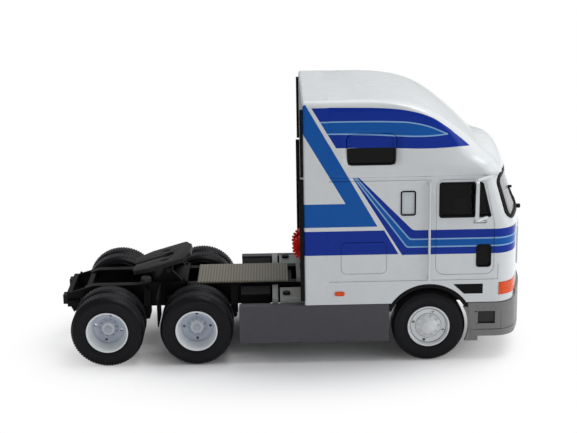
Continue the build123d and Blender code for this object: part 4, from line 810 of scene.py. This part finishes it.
# door, low and bunk window: outline, corner radius and width of the rubber
side_panes = (
    ([(2.95, 49.9), (20.2, 49.9), (17.2, 61.9), (2.95, 61.9)], 0.95, 0.85),
    ([(15.3, 32.8), (20.3, 32.8), (20.3, 40.6), (15.3, 40.6)], 1.0, 0.55),
    ([(-9.6, 50.9), (-4.6, 50.9), (-4.6, 59.3), (-9.6, 59.3)], 0.8, 0.45),
)
side_gaskets = bmesh.new()
for side in (-1, 1):
    for points, radius, width in side_panes:
        gasket(side_gaskets, points, radius, width,
               lambda px, pz: (front_x + px, side * 28.2, pz), (0, side * 0.55, 0))
made("side_window_gaskets", side_gaskets, gasket_black, "truck", "edge_rubber")
loft_frames = bmesh.new()
for side in (-1, 1):
    gasket(loft_frames, [(-26.95, 67.9), (-11.15, 67.9), (-11.15, 78.2), (-26.95, 78.2)], 1.7, 0.75,
           lambda px, pz: (front_x + px, side * 28.02, pz), (0, side * 0.42, 0))
made("loft_window_frames", loft_frames, loft_pane, "truck", "white_paint")
nose_ahead = 32.6  # the middle of the nose, ahead of the front axle
screen_foot, screen_rise, screen_lean = 46.0, 18.0, 6.0
bow_radius, corner_radius, corner_start, corner_middle, corner_bow = 72.0, 7.5, 23.44, 21.0, 11.015


def skin_x(across, up):
    """The cab's front as it bows and leans back, for a place across and up."""
    lean = max(0.0, up - screen_foot) / screen_rise * screen_lean
    reach = abs(across)
    if reach < corner_start:
        bow = bow_radius - sqrt(bow_radius**2 - reach**2)
    else:
        bow = corner_bow - sqrt(corner_radius**2 - min(reach - corner_middle, corner_radius) ** 2)
    return front_x + nose_ahead - lean - bow


screen_gasket = bmesh.new()
gasket(screen_gasket, [(-27.0, 48.3), (27.0, 48.3), (26.5, 63.1), (-26.5, 63.1)], 2.8, 1.15,
       lambda py, pz: (0.0, py, pz), (0.75, 0, 0), cuts=24,
       shape=lambda co: Vector((skin_x(co.y, co.z) - 0.4 + co.x, co.y, co.z)))
made("windscreen_gasket", screen_gasket, gasket_black, "truck", "edge_rubber")
dress(gasket_black, "edge_rubbers", "side_vents")

# Wipers: a boss under the windscreen, a thin arm that follows the bowed pane, and the blade's head at
# its end. Each is one moulding in black plastic.
foot_z, tip_z, pieces = 47.9, 56.2, 8
wipers = bmesh.new()
for foot_y, tip_y in ((-9.0, -14.0), (12.0, 7.0)):
    foot, tip = Vector((skin_x(foot_y, foot_z), foot_y, foot_z)), Vector((skin_x(tip_y, tip_z), tip_y, tip_z))
    drum(wipers, foot + Vector((0.5, 0, 0)), 0.75, 1.9, along="X", sides=16, edge=0.2)
    drum(wipers, tip + Vector((0.4, 0, 0)), 0.45, 1.3, along="X", sides=12, edge=0.12)
    for step in range(pieces):
        start, end = foot.lerp(tip, step / pieces), foot.lerp(tip, (step + 1) / pieces)
        for end_point in (start, end):
            end_point.x = skin_x(end_point.y, end_point.z)
        middle, run = (start + end) / 2, end - start
        matrix = Matrix.Translation(middle) @ run.to_track_quat("Z", "X").to_matrix().to_4x4()
        stretch = Matrix.Diagonal((0.36, 0.42, run.length * 1.03, 1.0))
        bmesh.ops.create_cube(wipers, size=1.0, matrix=matrix @ stretch)
made("wiper_arms", wipers, gasket_black, "truck", "edge_rubber", ("wipers",))

# Panes: clear, slightly hazy plastic in the windscreen, pale plastic in the bunk window, and smoked
# plastic in the doors' two windows. Each pane sits in its opening, a little below the skin.
clear_pane = Finish("clear_pane", Roughness=0.08, Alpha=0.66, Specular_IOR_Level=0.3)
vector, *_ = clear_pane.place()
haze = clear_pane.noise(vector, 0.1)
clear_pane.feed("Base Color", clear_pane.blend(haze, tone(156, 156, 158), tone(168, 168, 170)))
dress(clear_pane, "windscreen")
bunk_pane = moulded("bunk_pane", tone(196, 204, 206), 0.14, grain=0.002, variation=0.04, Coat_Weight=0.3)
dress(bunk_pane, "bunk_glass")
dark_pane = Finish("dark_pane", Roughness=0.06, Alpha=0.8, Specular_IOR_Level=0.14)
vector, *_ = dark_pane.place()
haze = dark_pane.noise(vector, 0.1)
dark_pane.feed("Base Color", dark_pane.blend(haze, tone(9, 8, 8), tone(18, 17, 16)))
dress(dark_pane, "door_glass")

# Lamps: amber mouldings wrapped round the nose's corners, on the sides and on the roof's visor, and
# clear headlamps beside them. All have level prisms moulded into their backs.
for name, low, high, alpha, nodes in (
    ("lamp_amber", tone(204, 54, 0), tone(238, 92, 4), 1.0, ("corner_lamps", "marker_lamps")),
    ("lamp_clear", tone(190, 194, 196), tone(224, 226, 228), 0.75, ("headlamps",)),
):
    lamp = Finish(name, Coat_Weight=0.25, Coat_Roughness=0.05, Alpha=alpha, Specular_IOR_Level=0.2)
    vector, *_ = lamp.place()
    prisms = lamp.node("ShaderNodeTexWave", {"wave_type": "BANDS", "bands_direction": "Z"},
                       {"Vector": vector, "Scale": 0.5, "Distortion": 0.0})
    lamp.feed("Base Color", lamp.blend(prisms, low, high))
    lamp.feed("Roughness", prisms * 0.1 + 0.12)
    lamp.relief(prisms, 0.00006)
    dress(lamp, *nodes)

# Tail lamps: black plastic housings on the ends of the frame. Their lenses, on the rear faces only,
# are dark red.
tail_red = Finish("lamp_dark_red", Coat_Weight=0.1, Specular_IOR_Level=0.14)
vector, x, y, z = tail_red.place()
tail_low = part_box("tail_lamps")[0] * 1000
lens_depth = 0.12
lens_share = x < tail_low.x + lens_depth
tail_red.feed("Base Color", tail_red.blend(lens_share, tone(12, 12, 13), tone(120, 14, 14)))
tail_red.feed("Roughness", tail_red.noise(vector, 0.8) * 0.1 + 0.3)
dress(tail_red, "tail_lamps")

# Grille: bars and surround moulded in pale plastic, set on the bowed front of the cab, with painted
# shade, near black, on the faces set back behind them in the gaps.
grille_finish = Finish("grille_bars", Specular_IOR_Level=0.3)
vector, x, y, z = grille_finish.place()
grille_half_width, grille_z, grille_half_height = 15.4, 36.4, 5.8
bowed = x - (front_x + nose_ahead) + y * y * (1 / (2 * bow_radius))
# painted shade: faces set back behind the bars are coloured near black
gap_shade = (bowed < 0.28) * (abs(y) < grille_half_width) * (abs(z - grille_z) < grille_half_height)
grille_finish.feed("Base Color", grille_finish.blend(gap_shade, tone(196, 200, 202), tone(14, 14, 15)))
grille_finish.feed("Roughness", grille_finish.noise(vector, 0.8) * 0.1 + 0.24)
dress(grille_finish, "grille")

# Mirrors and grab handles: white plastic mouldings that stand off the cab's sides. A silvered glass is
# set in the rear face of each mirror.
bright_white = moulded("bright_white_plastic", tone(206, 209, 210), 0.24, variation=0.03, Coat_Weight=0.6)
dress(bright_white, "mirrors", "grab_handles")
mirror_low, mirror_high = (corner * 1000 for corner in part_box("mirrors"))
silvered = Finish("mirror_glass", Metallic=1.0, Base_Color=(0.75, 0.77, 0.78, 1.0))
vector, *_ = silvered.place()
silvered.feed("Roughness", silvered.noise(vector, 0.6) * 0.05 + 0.03)
glasses = bmesh.new()
for side in (-1, 1):
    block(glasses, (mirror_low.x - 0.12, side * 31.1, 51.0), (mirror_low.x + 0.4, side * 34.1, 62.6), 0.1)
made("mirror_glasses", glasses, silvered, "truck", "rod_steel")

# Door handles: a lever across the shallow recess under each door window, in the same white plastic
# as the mirrors.
levers = bmesh.new()
for side in (-1, 1):
    block(levers, (front_x + 14.6, side * 27.9, 48.15), (front_x + 18.1, side * 28.6, 48.75), 0.18)
made("door_levers", levers, bright_white, "truck", "white_paint")

# Inside of the cab: floor, dashboard, steering wheel and bunk in dark grey plastic, and seats in brown
# plastic, each with a headrest and an outer bolster moulded on.
cab_dark = moulded("interior_dark_plastic", tone(62, 62, 66), 0.55)
dress(cab_dark, "cab_floor", "dashboard", "steering_wheel", "bunk")
seat_plastic = moulded("seat_brown_plastic", tone(104, 96, 88), 0.6)
dress(seat_plastic, "seats")
seat_low, seat_high = (corner * 1000 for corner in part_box("seats"))
seat_back, seat_top = seat_low.x, seat_high.z
cushions = bmesh.new()
for side in (-1, 1):
    inner, bolster, outer = (side * (seat_high.y - inward) for inward in (8.6, 1.4, 0.6))
    block(cushions, (seat_back + 0.2, inner, seat_top - 0.6),
          (seat_back + 2.2, outer, seat_top + 3.4), 0.7, 3)
    block(cushions, (seat_back + 1.6, bolster, seat_top - 8.0),
          (seat_back + 3.0, outer, seat_top - 1.0), 0.4, 3)
made("seat_headrests", cushions, seat_plastic, "truck", "interior_plastic")

# Air lines: two tubes wound into coils and bent over behind the cab. On the model they are rigid
# mouldings in red plastic, fixed to a block on the cab's rear wall.
coil_low, coil_high = (corner * 1000 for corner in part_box("air_coil_red"))
coil_bend, coil_radius, coil_turns, turn_points, coil_y, wire = 3.4, 1.1, 12, 12, 4.6, 0.42
for name, side, shade in (("red", -1, tone(236, 16, 14)), ("blue", 1, tone(220, 14, 14))):
    line = bpy.data.curves.new("coil_" + name, "CURVE")
    line.dimensions, line.bevel_depth, line.bevel_resolution, line.use_fill_caps = "3D", wire, 3, True
    spline = line.splines.new("NURBS")
    count = coil_turns * turn_points + 1
    spline.points.add(count - 1)
    centre_x, centre_z = coil_high.x, (coil_low.z + coil_high.z) / 2
    for number, point in enumerate(spline.points):
        bend, twist = pi * number / (count - 1), 2 * pi * number / turn_points
        reach = coil_bend + coil_radius * cos(twist)
        across = side * coil_y + coil_radius * sin(twist)
        point.co = (centre_x - reach * sin(bend), across, centre_z + reach * cos(bend), 1.0)
    spline.order_u, spline.use_endpoint_u = 3, True
    holder = bpy.data.objects.new("holder", line)
    coil_mesh = bmesh.new()
    coil_mesh.from_mesh(bpy.data.meshes.new_from_object(holder))
    bpy.data.objects.remove(holder)
    plastic = moulded(f"coil_{name}_plastic", shade, 0.3, variation=0.06, Coat_Weight=0.1,
                      Specular_IOR_Level=0.2)
    made("air_line_" + name, coil_mesh, plastic, "truck", "coil_red", ("air_coil_" + name,))

# Ground: a plain pale floor. It keeps the shadow round the model, and from there outwards it turns
# plain white to the camera and through the panes.
floor_finish = Finish("floor_white", Roughness=0.9, Specular_IOR_Level=0.1)
vector, x, y, z = floor_finish.place()
patches = floor_finish.noise(vector, 0.02)
floor_finish.feed("Base Color", floor_finish.blend(patches, tone(243, 243, 244), tone(246, 246, 247)))
shadow_squash, shadow_y, shadow_inner, shadow_outer = 0.62, 8.0, 24.0, 66.0
across = x * shadow_squash
reach = across.math("SQRT", across.math("POWER", across, 2.0) + across.math("POWER", y + shadow_y, 2.0))
far_off = floor_finish.node("ShaderNodeMapRange", {"interpolation_type": "SMOOTHSTEP"},
                            {0: reach, 1: shadow_inner, 2: shadow_outer, 3: 0.0, 4: 1.0})
rays = floor_finish.node("ShaderNodeLightPath")
seen = either(Signal(floor_finish, rays.socket.node.outputs["Is Camera Ray"]),
              Signal(floor_finish, rays.socket.node.outputs["Is Transmission Ray"]))
plain_white = floor_finish.node("ShaderNodeEmission", inputs={"Color": (1, 1, 1, 1), "Strength": 1.0})
shown = floor_finish.node("ShaderNodeMixShader", inputs={
    0: seen * far_off, 1: Signal(floor_finish, floor_finish.shader.outputs[0]), 2: plain_white})
floor_finish.tree.links.new(shown.socket, floor_finish.tree.nodes["Material Output"].inputs[0])
floor_half = 4.0
ground = bmesh.new()
bmesh.ops.create_grid(ground, x_segments=1, y_segments=1, size=floor_half)
ground_data = bpy.data.meshes.new("floor")
ground.to_mesh(ground_data)
ground.free()
ground_data.materials.append(floor_finish.material)
floor = bpy.data.objects.new("floor", ground_data)
bpy.context.scene.collection.objects.link(floor)

# Light: an even white sky, and two large soft panels above and ahead of the nose, all of them low
# enough that the white paint doesn't clip.
sky = bpy.data.worlds.new("sky")
sky.use_nodes = True
bpy.context.scene.world = sky
backdrop = sky.node_tree.nodes["Background"]
backdrop.inputs["Color"].default_value = (0.97, 0.98, 1.0, 1.0)
backdrop.inputs["Strength"].default_value = 0.4
for name, place, aim, size, power in (
    ("top_panel", (0.30, 0.12, 0.72), (0.0, 0.0, 0.03), 0.55, 5.0),
    ("nose_panel", (0.70, -0.22, 0.24), (0.03, 0.0, 0.02), 0.45, 1.5),
):
    lamp = bpy.data.lights.new(name, "AREA")
    lamp.shape, lamp.size, lamp.energy = "SQUARE", size, power
    held = bpy.data.objects.new(name, lamp)
    held.location = place
    held.rotation_euler = (Vector(aim) - Vector(place)).to_track_quat("-Z", "Y").to_euler()
    bpy.context.scene.collection.objects.link(held)

# Camera: the photograph's own place, turn and lens, for a frame of 577 by 433. Its place is fitted to
# the wheels and to the cab's edges.
frame_width, focal_pixels, sensor = 577, 1375.6, 36.0
yaw, pitch, roll = radians(0.535), radians(16.562), radians(-0.999)
ahead = Vector((sin(yaw) * cos(pitch), cos(yaw) * cos(pitch), -sin(pitch)))
right = ahead.cross(Vector((0, 0, 1))).normalized()
up = right.cross(ahead)
turned_right, turned_up = right * cos(roll) + up * sin(roll), up * cos(roll) - right * sin(roll)
lens_data = bpy.data.cameras.new("camera")
lens_data.sensor_width, lens_data.lens = sensor, sensor * focal_pixels / frame_width
camera = bpy.data.objects.new("camera", lens_data)
stand_point = Matrix.Translation(((front_x - 50.09) / 1000, -0.45720, 0.17895))
camera.matrix_world = stand_point @ Matrix((turned_right, turned_up, -ahead)).transposed().to_4x4()
bpy.context.scene.collection.objects.link(camera)
bpy.context.scene.camera = camera
